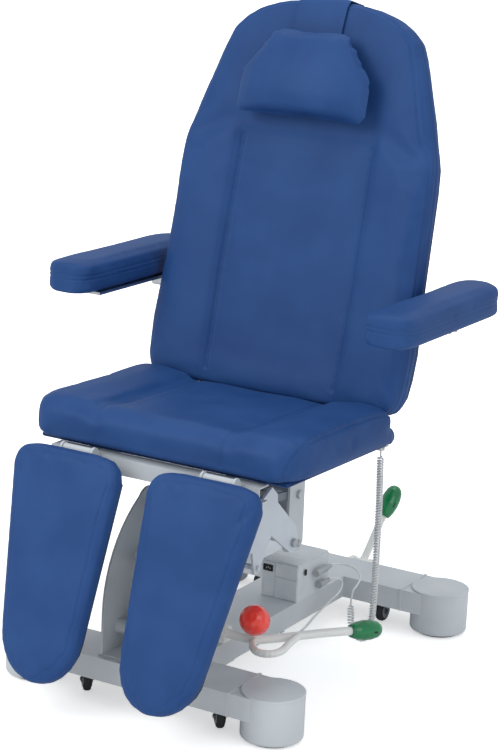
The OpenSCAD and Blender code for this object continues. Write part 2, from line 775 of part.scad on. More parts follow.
module seat_frame() {
    rail_x = 165;
    cross_w = 500;
    cross_len = 36;
    cross_h = 36;
    wall = 3;
    rail_z = -seat_gap - seat_board_t - rail_h;
    rear_w = 2 * (back_lug_x + 14);
    lug_t = 5;
    lug_gap = 11;
    color("gainsboro") difference() {
        union() {
            both_sides() on_seat() translate([rail_x - rail_h / 2, -seat_len + wall, rail_z])
                cube([rail_h, seat_len + 30, rail_h]);
            translate([-cross_w / 2, seat_front_y - wall, frame_bottom]) cube([cross_w, cross_len, cross_h]);
            translate([-rear_w / 2, frame_rear_y - 22, frame_bottom - 4]) cube([rear_w, rail_h, rail_h - 3]);
            translate([-rail_x, hang_low_y - 10, frame_bottom - 6]) cube([2 * rail_x, hanger_span / 2 + 16, 10]);
            both_sides() for (s = [-1, 1]) plate_x(back_lug_x + s * lug_gap / 2 + (s < 0 ? -lug_t : 0), lug_t) {
                polygon([
                    [frame_rear_y - 20, frame_bottom], [back_hinge_y + 6, frame_bottom + 8],
                    [back_hinge_y + 16, back_hinge_z], [back_hinge_y - 16, back_hinge_z],
                    [frame_rear_y + 4, frame_bottom + rail_h + 1], [frame_rear_y - 8, frame_bottom + rail_h - 8]
                ]);
                disc_at(16, back_hinge_y, back_hinge_z);
            }
            both_sides() for (x = [leg_lug_in, leg_lug_out]) plate_x(x - lug_t / 2, lug_t) {
                polygon([
                    [seat_front_y + wall, frame_bottom + 6], [leg_hinge_y, leg_hinge_z - 12],
                    [leg_hinge_y, leg_hinge_z + 12], [seat_front_y + wall, frame_bottom + cross_h - 1]
                ]);
                disc_at(12, leg_hinge_y, leg_hinge_z);
            }
            both_sides() bar_x(pin_d, leg_lug_in, leg_lug_out, leg_hinge_y, leg_hinge_z);
            both_sides() bar_x(pin_d, back_lug_x - lug_gap / 2 - lug_t, back_lug_x + lug_gap / 2 + lug_t,
                back_hinge_y, back_hinge_z);
        }
        translate([-cross_w / 2 - overrun, seat_front_y, frame_bottom + wall])
            cube([cross_w + 2 * overrun, cross_len, cross_h - 2 * wall]);
    }
}

module hanger_outline() {
    low_r = 24;
    polygon([
        [hang_low_y - 6, frame_bottom - 6], [hang_low_y + 58, frame_bottom - 6],
        [hang_low_y + 60, hang_low_z - 14], [hang_low_y + 44, hang_low_z - low_r - 8],
        [hang_low_y, hang_low_z - low_r], [hang_low_y - 8, hang_low_z + 2 * low_r]
    ]);
    disc_at(low_r, hang_low_y, hang_low_z);
}

module seat_hanger() {
    color("gainsboro") difference() {
        union() {
            both_sides() plate_x(hanger_span / 2 - hanger_t, hanger_t) hanger_outline();
            translate([-hanger_span / 2, hang_low_y + 58 - hanger_t, hang_low_z + 20])
                cube([hanger_span, hanger_t, frame_bottom - 6 - hang_low_z - 20]);
        }
        for (p = [[hang_low_y, hang_low_z], [hang_top_y, hang_top_z]])
            bar_x(ram_pin_d, -hanger_span, hanger_span, p[0], p[1]);
    }
}

module hanger_bolts() {
    head_d = 20;
    head_h = 7;
    color("silver") {
        bar_x(ram_pin_d, -arm_span / 2 - 1, arm_span / 2 + 1, hang_low_y, hang_low_z);
        both_sides() bar_x(head_d, arm_span / 2 + 1, arm_span / 2 + 1 + head_h, hang_low_y, hang_low_z);
        bar_x(ram_pin_d, -hanger_span / 2, hanger_span / 2, hang_top_y, hang_top_z);
        both_sides() bar_x(head_d, hanger_span / 2, hanger_span / 2 + head_h, hang_top_y, hang_top_z);
        both_sides() bar_x(head_d * 0.8, hanger_span / 2, hanger_span / 2 + head_h, hang_low_y + 36, hang_low_z - 12);
    }
}

module seat_board() {
    inset = 22;
    color("tan") on_seat() translate([-seat_w / 2 + inset, -seat_len + inset, -seat_gap - seat_board_t])
        cube([seat_w - 2 * inset, seat_len - 1.5 * inset, seat_board_t]);
}

// Seat stations from the rear edge forward; the rear tongue is low so that the back can stand over it
module seat_cushion() {
    tongue = 36;
    tongue_len = 42;
    corner_r = 60;
    nose_r = 46;
    front_shares = [0, 0.06, 0.2, 0.45, 0.8, 1.3];
    body_shares = [0.38, 0.6, 0.8, 0.96];
    low = [for (d = [0, 0.12, 1]) [-d * tongue_len, tongue - 0.3 * tongue * max(0, 0.1 - d)]];
    body_len = seat_len - tongue_len;
    stations = concat(
        [[-tongue_len - 2, 0.92], [-tongue_len - 14, 1]],
        [for (s = body_shares) [-tongue_len - s * (body_len - 1.3 * nose_r), 1]],
        [for (i = [len(front_shares) - 2 : -1 : 0]) [-seat_len + front_shares[i] * nose_r, 1]]
    );
    color("royalblue") on_seat() loft(concat(
        [for (s = low) [for (p = bolster_section(seat_w / 2 - end_loss(6 - s[0], 40), s[1], 0, seat_w / 4, 0, 18)) [p[0], s[0], p[1]]]],
        [for (s = stations) let (
            d = seat_len + s[0],
            w = seat_w / 2 - 6 * clamp((d - 20) / 30 < 1 ? 1 : 0, 0, 1) - end_loss(d + 4, corner_r),
            t = seat_t * s[1] - end_loss(d + 3, nose_r),
            dip = seat_dip * clamp(d / 120, 0.25, 1)
        ) [for (p = bolster_section(w, t, dip, seat_w * 0.26, 4, 22)) [p[0], s[0], p[1]]]]
    ));
}

module cord_clip() {
    color("silver") translate([curl_end[0], curl_end[1], curl_end[2]]) cylinder(d = 16, h = clip_h);
    color("silver") translate([curl_end[0] - 34, curl_end[1] - 12, curl_end[2] + clip_h]) cube([46, 24, 2.6]);
}

// Back, drawn in its own frame: panel face at y = 0, length along z

module on_back() {
    translate([0, back_y, back_z]) rotate([-back_angle, 0, 0]) children();
}

// Half width of the back along its length, as shares of its length and half width
back_shares = [
    [0, 0.84], [0.008, 0.91], [0.02, 0.95], [0.045, 0.978], [0.09, 0.993], [0.155, 1], [0.3, 0.978],
    [0.48, 0.966], [0.565, 0.96], [0.622, 0.948], [0.652, 0.928], [0.681, 0.905], [0.74, 0.864], [0.8, 0.812],
    [0.857, 0.765], [0.915, 0.705], [0.945, 0.625], [0.97, 0.52], [0.988, 0.37], [1, 0.14]
];

module back_cushion() {
    depth = back_t - back_dip;
    seam = back_w / 4;
    color("royalblue") on_back() loft([for (s = back_shares) let (
        w = s[1] * back_w / 2,
        flat = clamp((s[0] - 0.62) / 0.1, 0, 1),
        dip = back_dip * (1 - flat) * clamp(0.35 + s[0] * 6, 0, 1),
        t = back_t - 4 * flat - end_loss(min(s[0], 1 - s[0]) * back_len + 2, 16)
    ) [for (p = bolster_section(w, t, dip, seam, 4 * (1 - flat), 20)) [-p[0], depth - p[1], back_low + s[0] * back_len]]]);
}

module back_shell() {
    inset = 12;
    keep = (back_len - 2 * inset) / back_len;
    color("midnightblue") on_back() translate([0, back_t - back_dip + seat_gap + back_shell_t, 0]) rotate([90, 0, 0])
        linear_extrude(back_shell_t) polygon(concat(
            [for (s = back_shares) [s[1] * back_w / 2 - inset, back_low + inset + s[0] * keep * back_len]],
            [for (i = [len(back_shares) - 1 : -1 : 0])
                [-(back_shares[i][1] * back_w / 2 - inset), back_low + inset + back_shares[i][0] * keep * back_len]]
        ));
}

shell_rear = back_t - back_dip + seat_gap + back_shell_t;

// The back frame's hinge and armrest tube, found in the back's own frame
hinge_v = [back_hinge_y - back_y, back_hinge_z - back_z];
hinge_local = [hinge_v[0] * cos(back_angle) - hinge_v[1] * sin(back_angle),
               hinge_v[0] * sin(back_angle) + hinge_v[1] * cos(back_angle)];
arm_v = [arm_hinge_y - back_y, arm_hinge_z - back_z];
arm_local = [arm_v[0] * cos(back_angle) - arm_v[1] * sin(back_angle),
             arm_v[0] * sin(back_angle) + arm_v[1] * cos(back_angle)];
arm_tube_d = 18;
stub_d = 14;
armrest_x = back_w / 2 + 2;

module back_frame() {
    post_w = 30;
    post_t = 16;
    post_len = 560;
    lug_t = 10;
    color("gainsboro") difference() {
        union() {
            on_back() both_sides() {
                translate([back_lug_x - post_w / 2, shell_rear, 10]) cube([post_w, post_t, post_len]);
                plate_x(back_lug_x - lug_t / 2, lug_t) {
                    polygon([
                        [hinge_local[0] - 6, hinge_local[1] + 12], [hinge_local[0] + 14, hinge_local[1]],
                        [shell_rear + post_t, 12], [shell_rear + post_t, 90], [shell_rear, 60], [shell_rear, back_low + 8]
                    ]);
                    disc_at(15, hinge_local[0], hinge_local[1]);
                }
            }
            on_back() for (z = [120, 540]) translate([-back_lug_x, shell_rear, z]) cube([2 * back_lug_x, post_t, 25]);
            bar_x(arm_tube_d, -back_w / 2 + 2, back_w / 2 - 2, arm_hinge_y, arm_hinge_z);
            bar_x(stub_d, -armrest_x - 60, armrest_x + 60, arm_hinge_y, arm_hinge_z);
        }
        bar_x(pin_d + 2 * run_gap, -back_w, back_w, back_hinge_y, back_hinge_z);
    }
}

strap_t = 3;
strap_face = back_dip - 4 + 3.5;

// The strap lies on the face of the back, passes over its top and hangs down behind the shell
module headrest_strap() {
    top = back_low + back_len;
    front_low = 0.74 * back_len;
    rear_low = 0.86 * back_len;
    rear_y = shell_rear + seat_gap;
    over = [[-strap_face, front_low], [-strap_face, top - 14], [-strap_face + 4, top - 5],
            [-strap_face + 11, top + 1.5], [rear_y - 8, top + 1.5], [rear_y, top - 8], [rear_y, rear_low]];
    out = [[-1, 0], [-1, 0.1], [-0.85, 0.5], [-0.4, 0.9], [0.4, 1], [1, 0.4], [1, 0]];
    color("royalblue") on_back() plate_x(-strap_w / 2, strap_w) polygon(concat(
        over,
        [for (i = [len(over) - 1 : -1 : 0]) over[i] + strap_t * out[i]]
    ));
}

// Section of the pillow: flat where it rests, crowned in front, with a sewn edge at either side
function pillow_section(w, t) = whole_ring([
    [0, t], [0.45 * w, 0.94 * t], [0.75 * w, 0.78 * t], [0.92 * w, 0.6 * t], [w, pillow_seam_share * t],
    [0.92 * w, 0.28 * t], [0.75 * w, 0.12 * t], [0.45 * w, 0.02 * t], [0, 0]
]);
pillow_seam_share = 0.43;

// A wedge with six sewn corners, thickest low down; it hangs on its strap in front of the bolsters
module headrest_pillow() {
    low = 0.68 * back_len;
    // Station along the height, half width and thickness, as shares of the pillow's size
    shares = [[0, 0.97, 0.08], [0.03, 0.985, 0.4], [0.1, 0.99, 0.78], [0.24, 0.985, 1], [0.4, 0.985, 0.97],
              [0.5, 0.97, 0.9], [0.65, 0.86, 0.76], [0.82, 0.73, 0.56], [0.95, 0.63, 0.32], [1, 0.6, 0.08]];
    color("royalblue") on_back() loft([for (s = shares)
        [for (p = pillow_section(s[1] * pillow_w / 2, s[2] * pillow_t))
            [-p[0], -strap_face - strap_t - seat_gap - pillow_seam_share * (1 - s[2]) * pillow_t - p[1],
             low + s[0] * pillow_h]]
    ]);
}

// Armrests, one side, drawn on the right

module armrest_bracket() {
    hub_d = 26;
    hub_len = 46;
    plate_w = 60;
    plate_t = 6;
    color("silver") difference() {
        union() {
            bar_x(hub_d, armrest_x, armrest_x + hub_len, arm_hinge_y, arm_hinge_z);
            translate([armrest_x, arm_hinge_y - 0.62 * armrest_len, arm_hinge_z + 14])
                cube([plate_w, 0.8 * armrest_len, plate_t]);
            translate([armrest_x, arm_hinge_y - hub_d / 2, arm_hinge_z]) cube([hub_len, hub_d, 14 + plate_t / 2]);
        }
        bar_x(stub_d + 2 * run_gap, armrest_x - overrun, armrest_x + 62, arm_hinge_y, arm_hinge_z);
    }
}

module armrest_pad() {
    x_mid = armrest_x + armrest_w / 2 + 1;
    rear = arm_hinge_y + 118;
    base = arm_hinge_z + 20 + seat_gap;
    shares = [0, 0.006, 0.025, 0.06, 0.12, 0.5, 0.88, 0.94, 0.975, 0.994, 1];
    color("royalblue") loft([for (s = shares) let (
        d = min(s, 1 - s) * armrest_len,
        w = armrest_w / 2 - end_loss(d + 1, 42),
        t = armrest_t - 3 - 0.5 * end_loss(d + 1.5, 12)
    ) [for (p = pad_section(w, t, 3, 14)) [x_mid + p[0], rear - s * armrest_len, base + p[1]]]]);
}

// Leg rests, one side, drawn on the right in the leg's own frame: hinge at the origin, -Z down the leg

module on_leg() {
    translate([0, leg_hinge_y, leg_hinge_z]) rotate([-leg_angle, 0, 0]) children();
}

leg_face = 56;
leg_top = -2.4;
leg_mid_top = leg_gap / 2 + leg_w_top / 2 + 2;
leg_mid_low = leg_gap / 2 + leg_w_low / 2 + 12;
board_rear = leg_face - leg_t - seat_gap - leg_board_t;
guide_w = 24;
guide_t = 14;
guide_x = [leg_lug_in + 16, leg_lug_out - 16];
guide_len = 190;
slide_w = 18;
slide_t = 8;
guide_y = -board_rear + 2;

function leg_half(d) = (leg_w_top + (leg_w_low - leg_w_top) * clamp((d - 40) / (leg_len - 130), 0, 1.1)) / 2;
function leg_middle(d) = leg_mid_top + (leg_mid_low - leg_mid_top) * d / leg_len;
leg_stations = [0, 3, 10, 24, 48, 150, 270, 380, 418, 446, 468, 482, 490, 492];

module leg_pad() {
    color("royalblue") on_leg() loft([for (d0 = leg_stations) let (
        d = d0 * leg_len / leg_stations[len(leg_stations) - 1],
        w = leg_half(d) - end_loss(d, 46) - end_loss(leg_len - d + 0.2, 92),
        t = leg_t - 4 - end_loss(min(d, leg_len - d) + 2, 9)
    ) [for (p = pad_section(max(w, 10), t, 4, 12)) [leg_middle(d) + p[0], -leg_face + leg_t - p[1], leg_top - d]]]);
}

module leg_slide() {
    inset = 12;
    board_len = leg_len - 2 * inset;
    foot_len = 60;
    color("tan") on_leg() {
        translate([0, -board_rear, 0]) rotate([90, 0, 0]) linear_extrude(leg_board_t) {
            polygon(concat(
                [for (s = [0.1 : 0.1 : 0.8]) let (d = s * leg_len) [leg_middle(d) + leg_half(d) - inset, leg_top - d]],
                [for (a = [0 : 15 : 180]) [leg_middle(0.8 * leg_len) + (leg_half(0.8 * leg_len) - inset) * cos(a),
                    leg_top - 0.8 * leg_len - (0.2 * leg_len - inset) * sin(a)]],
                [for (s = [0.8 : -0.1 : 0.1]) let (d = s * leg_len) [leg_middle(d) - leg_half(d) + inset, leg_top - d]],
                [[leg_middle(0) - leg_half(0) + 4 * inset, leg_top - 1.8 * inset],
                 [leg_middle(0) + leg_half(0) - 4 * inset, leg_top - 1.8 * inset]]
            ));
        }
    }
    color("silver") on_leg() for (x = guide_x) {
        translate([x - slide_w / 2, guide_y + (guide_t - slide_t) / 2, -guide_len - foot_len - 40])
            cube([slide_w, slide_t, guide_len + foot_len - 30]);
        translate([x - slide_w / 2, -board_rear - overrun, -guide_len - foot_len - 40])
            cube([slide_w, guide_y + board_rear + guide_t / 2 + overrun, foot_len - 20]);
    }
}

module leg_frame() {
    wall = 2.5;
    knuckle_d = 18;
    top = -12;
    color("gainsboro") on_leg() difference() {
        union() {
            bar_x(knuckle_d, leg_lug_in + 3.2, leg_lug_out - 3.2, 0, 0);
            for (x = guide_x) {
                translate([x - guide_w / 2, guide_y, -guide_len]) cube([guide_w, guide_t, guide_len + top]);
                translate([x - guide_w / 2, 0, top - 8]) cube([guide_w, guide_t - 4, 14]);
            }
            translate([guide_x[0], guide_y + guide_t - wall, -0.75 * guide_len]) cube([guide_x[1] - guide_x[0], wall, 40]);
        }
        bar_x(pin_d + 2 * run_gap, leg_lug_in, leg_lug_out, 0, 0);
        for (x = guide_x) translate([x - slide_w / 2 - side_gap / 2, guide_y + (guide_t - slide_t) / 2 - side_gap / 2, -guide_len - overrun])
            cube([slide_w + side_gap, slide_t + side_gap, guide_len - 24]);
    }
}

lever_pivot = [221, -board_rear, -304];
lever_end = [209, -board_rear, -400];
lever_t = 5;

module leg_lever() {
    color("black") on_leg() {
        translate([lever_pivot[0], lever_pivot[1] + side_gap / 2, lever_pivot[2]]) rotate([-90, 0, 0]) cylinder(d = 16, h = lever_t);
        translate([0, lever_pivot[1] + side_gap / 2 + lever_t, 0]) rotate([90, 0, 0]) linear_extrude(lever_t)
            polygon([[lever_pivot[0] - 6, lever_pivot[2]], [lever_pivot[0] + 7, lever_pivot[2]],
                     [lever_end[0] + 11, lever_end[2]], [lever_end[0] - 5, lever_end[2]]]);
    }
}

// Cords

clip_h = 8;
curl_end = [282, 56, 503];

// The curly cord's route: out of its plug, across to the curls, down, round and up under the seat
curl_route = [
    curl_exit, curl_exit + [0, 5, 0], curl_exit + [0, 12, 0],
    [98, 262, 150], [130, 262, 146], [166, 222, 144], [190, 160, 148], [204, 116, 152], [212, 94, 140],
    [215, 90, 110], [220, 88, 78], [240, 87, 58], [262, 86, 70], [270, 84, 110], [273, 82, 180],
    [275, 78, 280], [278, 70, 380], [281, 60, 450], curl_end - [0, 0, 20], curl_end - [0, 0, 10]
];
curl_start_share = 0.34;

// The thin lead's route: out of its plug, down the side of the long beam and up into the gland under it
lead_route = [
    lead_exit, lead_exit + [0, 6, 0], lead_exit + [0, 13, 0], [96, 264, 110], [104, 246, 92], [102, 200, 78], [98, 150, 62],
    [90, 108, 38], [76, 80, 22], [63, 66, 16], lead_gland - [0, 0, 14], lead_gland - [0, 0, 7], lead_gland
];

function curve_point(p, i, t) =
    let (a = p[max(i - 1, 0)], b = p[i], c = p[i + 1], d = p[min(i + 2, len(p) - 1)])
    0.5 * (2 * b + (c - a) * t + (2 * a - 5 * b + 4 * c - d) * t * t + (3 * b - a - 3 * c + d) * t * t * t);
function smooth_route(p, n) = concat(
    [for (i = [0 : len(p) - 2], j = [0 : n - 1]) curve_point(p, i, j / n)],
    [p[len(p) - 1]]
);
function run_lengths(p) = [for (i = 0, s = 0; i < len(p); i = i + 1, s = s + (i < len(p) ? norm(p[i] - p[i - 1]) : 0)) s];
function coordinate_table(p, s, k) = [for (i = [0 : len(p) - 1]) [s[i], p[i][k]]];
function ring_about(c, e, f, r, sides) = [for (k = [0 : sides - 1]) c + r * (cos(360 * k / sides) * e - sin(360 * k / sides) * f)];

curl_points = smooth_route(concat(curl_route, [curl_end]), 6);
curl_lengths = run_lengths(curl_points);
curl_total = curl_lengths[len(curl_lengths) - 1];
curl_xyz = [for (k = [0 : 2]) coordinate_table(curl_points, curl_lengths, k)];
curl_from = curl_start_share * curl_total;
curl_to = curl_total - 3 * curl_cable_d;
curl_rings = 8;
function on_curl_route(s) = [for (k = [0 : 2]) lookup(clamp(s, 0, curl_total), curl_xyz[k])];
function curl_tangent(s) = unit(on_curl_route(s + 2) - on_curl_route(s - 2));
function curl_across(s) = unit(cross(curl_tangent(s), [0, 1, 0.001]));
function curl_turn(s) = 360 * curl_count * clamp((s - curl_from) / (curl_to - curl_from), 0, 1);
function curl_out(s) = let (a = curl_turn(s), n = curl_across(s), b = cross(curl_tangent(s), n)) cos(a) * n + sin(a) * b;
curl_pitch = (curl_to - curl_from) / curl_count;
function curl_spread(s) = curl_r * clamp((s - curl_from) / curl_pitch, 0, 1) * clamp((curl_to - s) / curl_pitch, 0, 1);
function curl_centre(s) = on_curl_route(s) + curl_spread(s) * curl_out(s);
function curl_way(s) = unit(curl_centre(s + 0.1) - curl_centre(s - 0.1));
function curl_ring(s) =
    let (w = s < curl_cable_d || s > curl_total - curl_cable_d ? curl_tangent(s) : curl_way(s),
         o = curl_out(s), f = unit(cross(w, o)), e = cross(f, w))
    ring_about(curl_centre(s), e, f, curl_cable_d / 2, 6);
curl_stations = concat(
    [for (i = [0 : 17]) i * curl_from / 18],
    [for (i = [0 : curl_count * curl_rings]) curl_from + i * curl_pitch / curl_rings],
    [curl_total - curl_cable_d, curl_total]
);
curl_gap = min([for (i = [curl_rings : curl_count * curl_rings - curl_rings])
    let (s = curl_from + i * curl_pitch / curl_rings)
    norm(curl_centre(s) - curl_centre(s + curl_pitch)) - curl_cable_d]);

module curly_cord() {
    echo(curly_cord_length = curl_total, curl_pitch = curl_pitch, least_gap_between_curls = curl_gap);
    color("silver") loft([for (s = curl_stations) curl_ring(s)]);
}

module thin_lead() {
    pts = smooth_route(lead_route, 4);
    last = len(pts) - 1;
    echo(thin_lead_length = run_lengths(pts)[last]);
    color("silver") loft([for (i = [0 : last]) let (
        w = unit(pts[min(i + 1, last)] - pts[max(i - 1, 0)]),
        e = unit(cross(w, [0.6, 0.2, 0.1])), f = cross(w, e)
    ) ring_about(pts[i], e, f, lead_d / 2, 8)]);
}

// Places a piece of the chair, drawn about its base, in the shared frame
module centred() {
    translate([0, centre_y, 0]) children();
}

centred() base_frame();
centred() foot_caps();
centred() foot_pads();
centred() front_tower();
centred() tower_caps();
centred() ram_bracket();
centred() control_box();
centred() control_box_cover();
centred() cord_plugs();
centred() pedal_bearings();
centred() lift_arm();
centred() tie_bars();
centred() ram_tube();
centred() ram_rod();
centred() seat_frame();
centred() seat_hanger();
centred() hanger_bolts();
centred() seat_board();
centred() seat_cushion();
centred() cord_clip();
centred() back_frame();
centred() back_shell();
centred() back_cushion();
centred() headrest_strap();
centred() headrest_pillow();
centred() mirror([1, 0, 0]) armrest_bracket();  // armrest_bracket_left
centred() armrest_bracket();  // armrest_bracket_right
centred() mirror([1, 0, 0]) armrest_pad();  // armrest_pad_left
centred() armrest_pad();  // armrest_pad_right
centred() mirror([1, 0, 0]) leg_frame();  // leg_frame_left
centred() leg_frame();  // leg_frame_right
centred() mirror([1, 0, 0]) leg_slide();  // leg_slide_left
centred() leg_slide();  // leg_slide_right
centred() mirror([1, 0, 0]) leg_pad();  // leg_pad_left
centred() leg_pad();  // leg_pad_right
centred() mirror([1, 0, 0]) leg_lever();  // leg_lever_left
centred() leg_lever();  // leg_lever_right
centred() front_pedal_tube();
centred() front_green_knobs();
centred() front_red_knobs();
centred() rear_pedal_tube();
centred() rear_green_knob();
centred() castor_at(-1, -1) castor_carrier();  // castor_carrier_front_left
centred() castor_at(1, -1) castor_carrier();  // castor_carrier_front_right
centred() castor_at(-1, 1) castor_carrier();  // castor_carrier_rear_left
centred() castor_at(1, 1) castor_carrier();  // castor_carrier_rear_right
centred() castor_at(-1, -1) castor_fork();  // castor_fork_front_left
centred() castor_at(1, -1) castor_fork();  // castor_fork_front_right
centred() castor_at(-1, 1) castor_fork();  // castor_fork_rear_left
centred() castor_at(1, 1) castor_fork();  // castor_fork_rear_right
centred() castor_at(-1, -1) castor_wheel();  // castor_wheel_front_left
centred() castor_at(1, -1) castor_wheel();  // castor_wheel_front_right
centred() castor_at(-1, 1) castor_wheel();  // castor_wheel_rear_left
centred() castor_at(1, 1) castor_wheel();  // castor_wheel_rear_right
centred() curly_cord();
centred() thin_lead();
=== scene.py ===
"""The podiatry chair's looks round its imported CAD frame: upholstery, finishes, cords, light and camera."""
import json
import math

import bmesh
import bpy
from mathutils import Euler, Matrix, Vector
from mathutils.bvhtree import BVHTree
from mathutils.kdtree import KDTree


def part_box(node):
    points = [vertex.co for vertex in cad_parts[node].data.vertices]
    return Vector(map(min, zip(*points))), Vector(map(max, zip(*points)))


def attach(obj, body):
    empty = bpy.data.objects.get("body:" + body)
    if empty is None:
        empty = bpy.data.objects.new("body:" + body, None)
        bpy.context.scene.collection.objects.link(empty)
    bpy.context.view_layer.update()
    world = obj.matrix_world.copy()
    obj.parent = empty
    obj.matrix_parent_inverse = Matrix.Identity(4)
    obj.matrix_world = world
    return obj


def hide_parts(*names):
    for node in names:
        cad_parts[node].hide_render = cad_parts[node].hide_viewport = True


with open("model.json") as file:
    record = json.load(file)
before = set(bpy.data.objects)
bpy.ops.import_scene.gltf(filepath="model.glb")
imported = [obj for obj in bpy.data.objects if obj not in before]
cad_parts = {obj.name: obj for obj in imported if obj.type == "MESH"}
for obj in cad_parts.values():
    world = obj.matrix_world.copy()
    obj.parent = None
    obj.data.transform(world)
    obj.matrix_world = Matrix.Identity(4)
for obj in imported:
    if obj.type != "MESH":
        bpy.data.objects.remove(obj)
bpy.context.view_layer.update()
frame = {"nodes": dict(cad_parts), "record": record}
MM = 0.001


def mm(*values):
    """A point given in millimetres, in metres."""
    return Vector(values) * MM


# ---------------------------------------------------------------- camera
# Fitted to the photograph: how the camera is turned (degrees), where it stands, and its lens (millimetres).
CAMERA_AZIMUTH = 30.29
CAMERA_ELEVATION = 14.33
CAMERA_ROLL = 2.5
CAMERA_PLACE = mm(2298.89, -3940.14, 1798.55)
CAMERA_LENS = 105.14
SENSOR_LONG_SIDE = 36
FAR_CLIP_M = 50


def make_camera():
    """Sets up the fitted camera, with its upright turned by the roll."""
    azimuth, elevation, roll = (math.radians(v) for v in (CAMERA_AZIMUTH, CAMERA_ELEVATION, CAMERA_ROLL))
    back = Vector((math.sin(azimuth) * math.cos(elevation), -math.cos(azimuth) * math.cos(elevation),
                   math.sin(elevation)))
    right = Vector((math.cos(azimuth), math.sin(azimuth), 0))
    up = back.cross(right)
    turned_right = right * math.cos(roll) + up * math.sin(roll)
    turned_up = up * math.cos(roll) - right * math.sin(roll)
    camera = bpy.data.objects.new("camera", bpy.data.cameras.new("camera"))
    camera.data.lens = CAMERA_LENS
    camera.data.sensor_width = SENSOR_LONG_SIDE
    camera.data.clip_end = FAR_CLIP_M
    axes = Matrix((turned_right, turned_up, back)).transposed().to_4x4()
    camera.matrix_world = Matrix.Translation(CAMERA_PLACE) @ axes
    bpy.context.collection.objects.link(camera)
    bpy.context.scene.camera = camera


make_camera()


# ---------------------------------------------------------------- materials
def linear(hex_colour):
    """A colour written as sRGB hex, turned linear."""
    parts = [int(hex_colour[i:i + 2], 16) / 255 for i in (1, 3, 5)]
    return [c / 12.92 if c <= 0.04045 else ((c + 0.055) / 1.055) ** 2.4 for c in parts] + [1]


def add_node(tree, kind, links=(), **settings):
    """Adds a shader node, sets its properties or inputs by name, and links (output, input) pairs into it."""
    node = tree.nodes.new(kind)
    for name, value in settings.items():
        if hasattr(node, name) and name not in node.inputs:
            setattr(node, name, value)
        else:
            node.inputs[name.replace("_", " ")].default_value = value
    for source, target in links:
        tree.links.new(source, node.inputs[target])
    return node


def new_material(name):
    """A material with its node tree, its shader, and the object's own coordinates to lay patterns in."""
    material = bpy.data.materials.new(name)
    material.use_nodes = True
    tree = material.node_tree
    shader = tree.nodes["Principled BSDF"]
    place = add_node(tree, "ShaderNodeTexCoord").outputs["Object"]
    return material, tree, shader, place


def ramp_between(tree, factor, low, high, start=0.3, end=0.7):
    """Two colours mixed by a factor, through a ramp."""
    ramp = add_node(tree, "ShaderNodeValToRGB", [(factor, "Fac")])
    ramp.color_ramp.elements[0].position = start
    ramp.color_ramp.elements[1].position = end
    ramp.color_ramp.elements[0].color = linear(low)
    ramp.color_ramp.elements[1].color = linear(high)
    return ramp.outputs["Color"]


def roughness_between(tree, factor, low, high):
    """A roughness that wanders between two values with a pattern."""
    node = add_node(tree, "ShaderNodeMapRange", [(factor, "Value")])
    node.inputs["To Min"].default_value = low
    node.inputs["To Max"].default_value = high
    return node.outputs["Result"]


def bump(tree, height, strength, distance_mm, normal=None):
    """A pattern's height turned into a bent normal, on top of another if one is given."""
    node = add_node(tree, "ShaderNodeBump", [(height, "Height")])
    node.inputs["Strength"].default_value = strength
    node.inputs["Distance"].default_value = distance_mm * MM
    if normal is not None:
        tree.links.new(normal, node.inputs["Normal"])
    return node.outputs["Normal"]


def pattern(tree, place, spacing_mm, detail=2.0, kind="noise"):
    """A noise or cell pattern whose features are about this many millimetres apart."""
    if kind == "cells":
        node = add_node(tree, "ShaderNodeTexVoronoi", [(place, "Vector")])
        node.inputs["Scale"].default_value = 1 / (spacing_mm * MM)
        return node.outputs["Distance"]
    node = add_node(tree, "ShaderNodeTexNoise", [(place, "Vector")])
    node.inputs["Scale"].default_value = 1 / (spacing_mm * MM)
    node.inputs["Detail"].default_value = detail
    return node.outputs["Fac"]


def wire(tree, shader, colour, roughness, normal):
    """Links the three patterned inputs that every finish here has."""
    tree.links.new(colour, shader.inputs["Base Color"])
    tree.links.new(roughness, shader.inputs["Roughness"])
    tree.links.new(normal, shader.inputs["Normal"])


def coated_vinyl(name, low, high, rough):
    """PVC upholstery vinyl, embossed and matt lacquered: a soft wide highlight over a leather grain.
    The grain's real cells are 0.7 mm and are drawn 1.6 mm wide so that they show."""
    material, tree, shader, place = new_material(name)
    broad = pattern(tree, place, 90)
    grain = pattern(tree, place, 1.6, kind="cells")
    pores = pattern(tree, place, 0.5)
    fine = bump(tree, pores, 0.12, 0.1)
    wire(tree, shader, ramp_between(tree, broad, low, high),
         roughness_between(tree, broad, rough - 0.05, rough + 0.06), bump(tree, grain, 0.28, 0.22, fine))
    shader.inputs["IOR"].default_value = 1.36
    shader.inputs["Specular IOR Level"].default_value = 0.34
    return material


def powder_coat(name, low, high, rough=0.36):
    """Polyester powder coat on steel: a faint orange peel 2.5 mm across, and slightly uneven gloss."""
    material, tree, shader, place = new_material(name)
    broad = pattern(tree, place, 120, 3)
    peel = pattern(tree, place, 2.5)
    wire(tree, shader, ramp_between(tree, broad, low, high),
         roughness_between(tree, peel, rough - 0.04, rough + 0.08), bump(tree, peel, 0.15, 0.12))
    shader.inputs["IOR"].default_value = 1.5
    return material


def moulded_plastic(name, low, high, rough, grain_mm=0.9, depth=0.2, coat=0.0):
    """Injection-moulded plastic: even colour with a fine spark-eroded grain, or polished under a coat."""
    material, tree, shader, place = new_material(name)
    broad = pattern(tree, place, 25)
    grain = pattern(tree, place, grain_mm)
    wire(tree, shader, ramp_between(tree, broad, low, high),
         roughness_between(tree, broad, rough * 0.85, rough * 1.15), bump(tree, grain, depth, 0.1))
    shader.inputs["IOR"].default_value = 1.49
    shader.inputs["Coat Weight"].default_value = coat
    return material


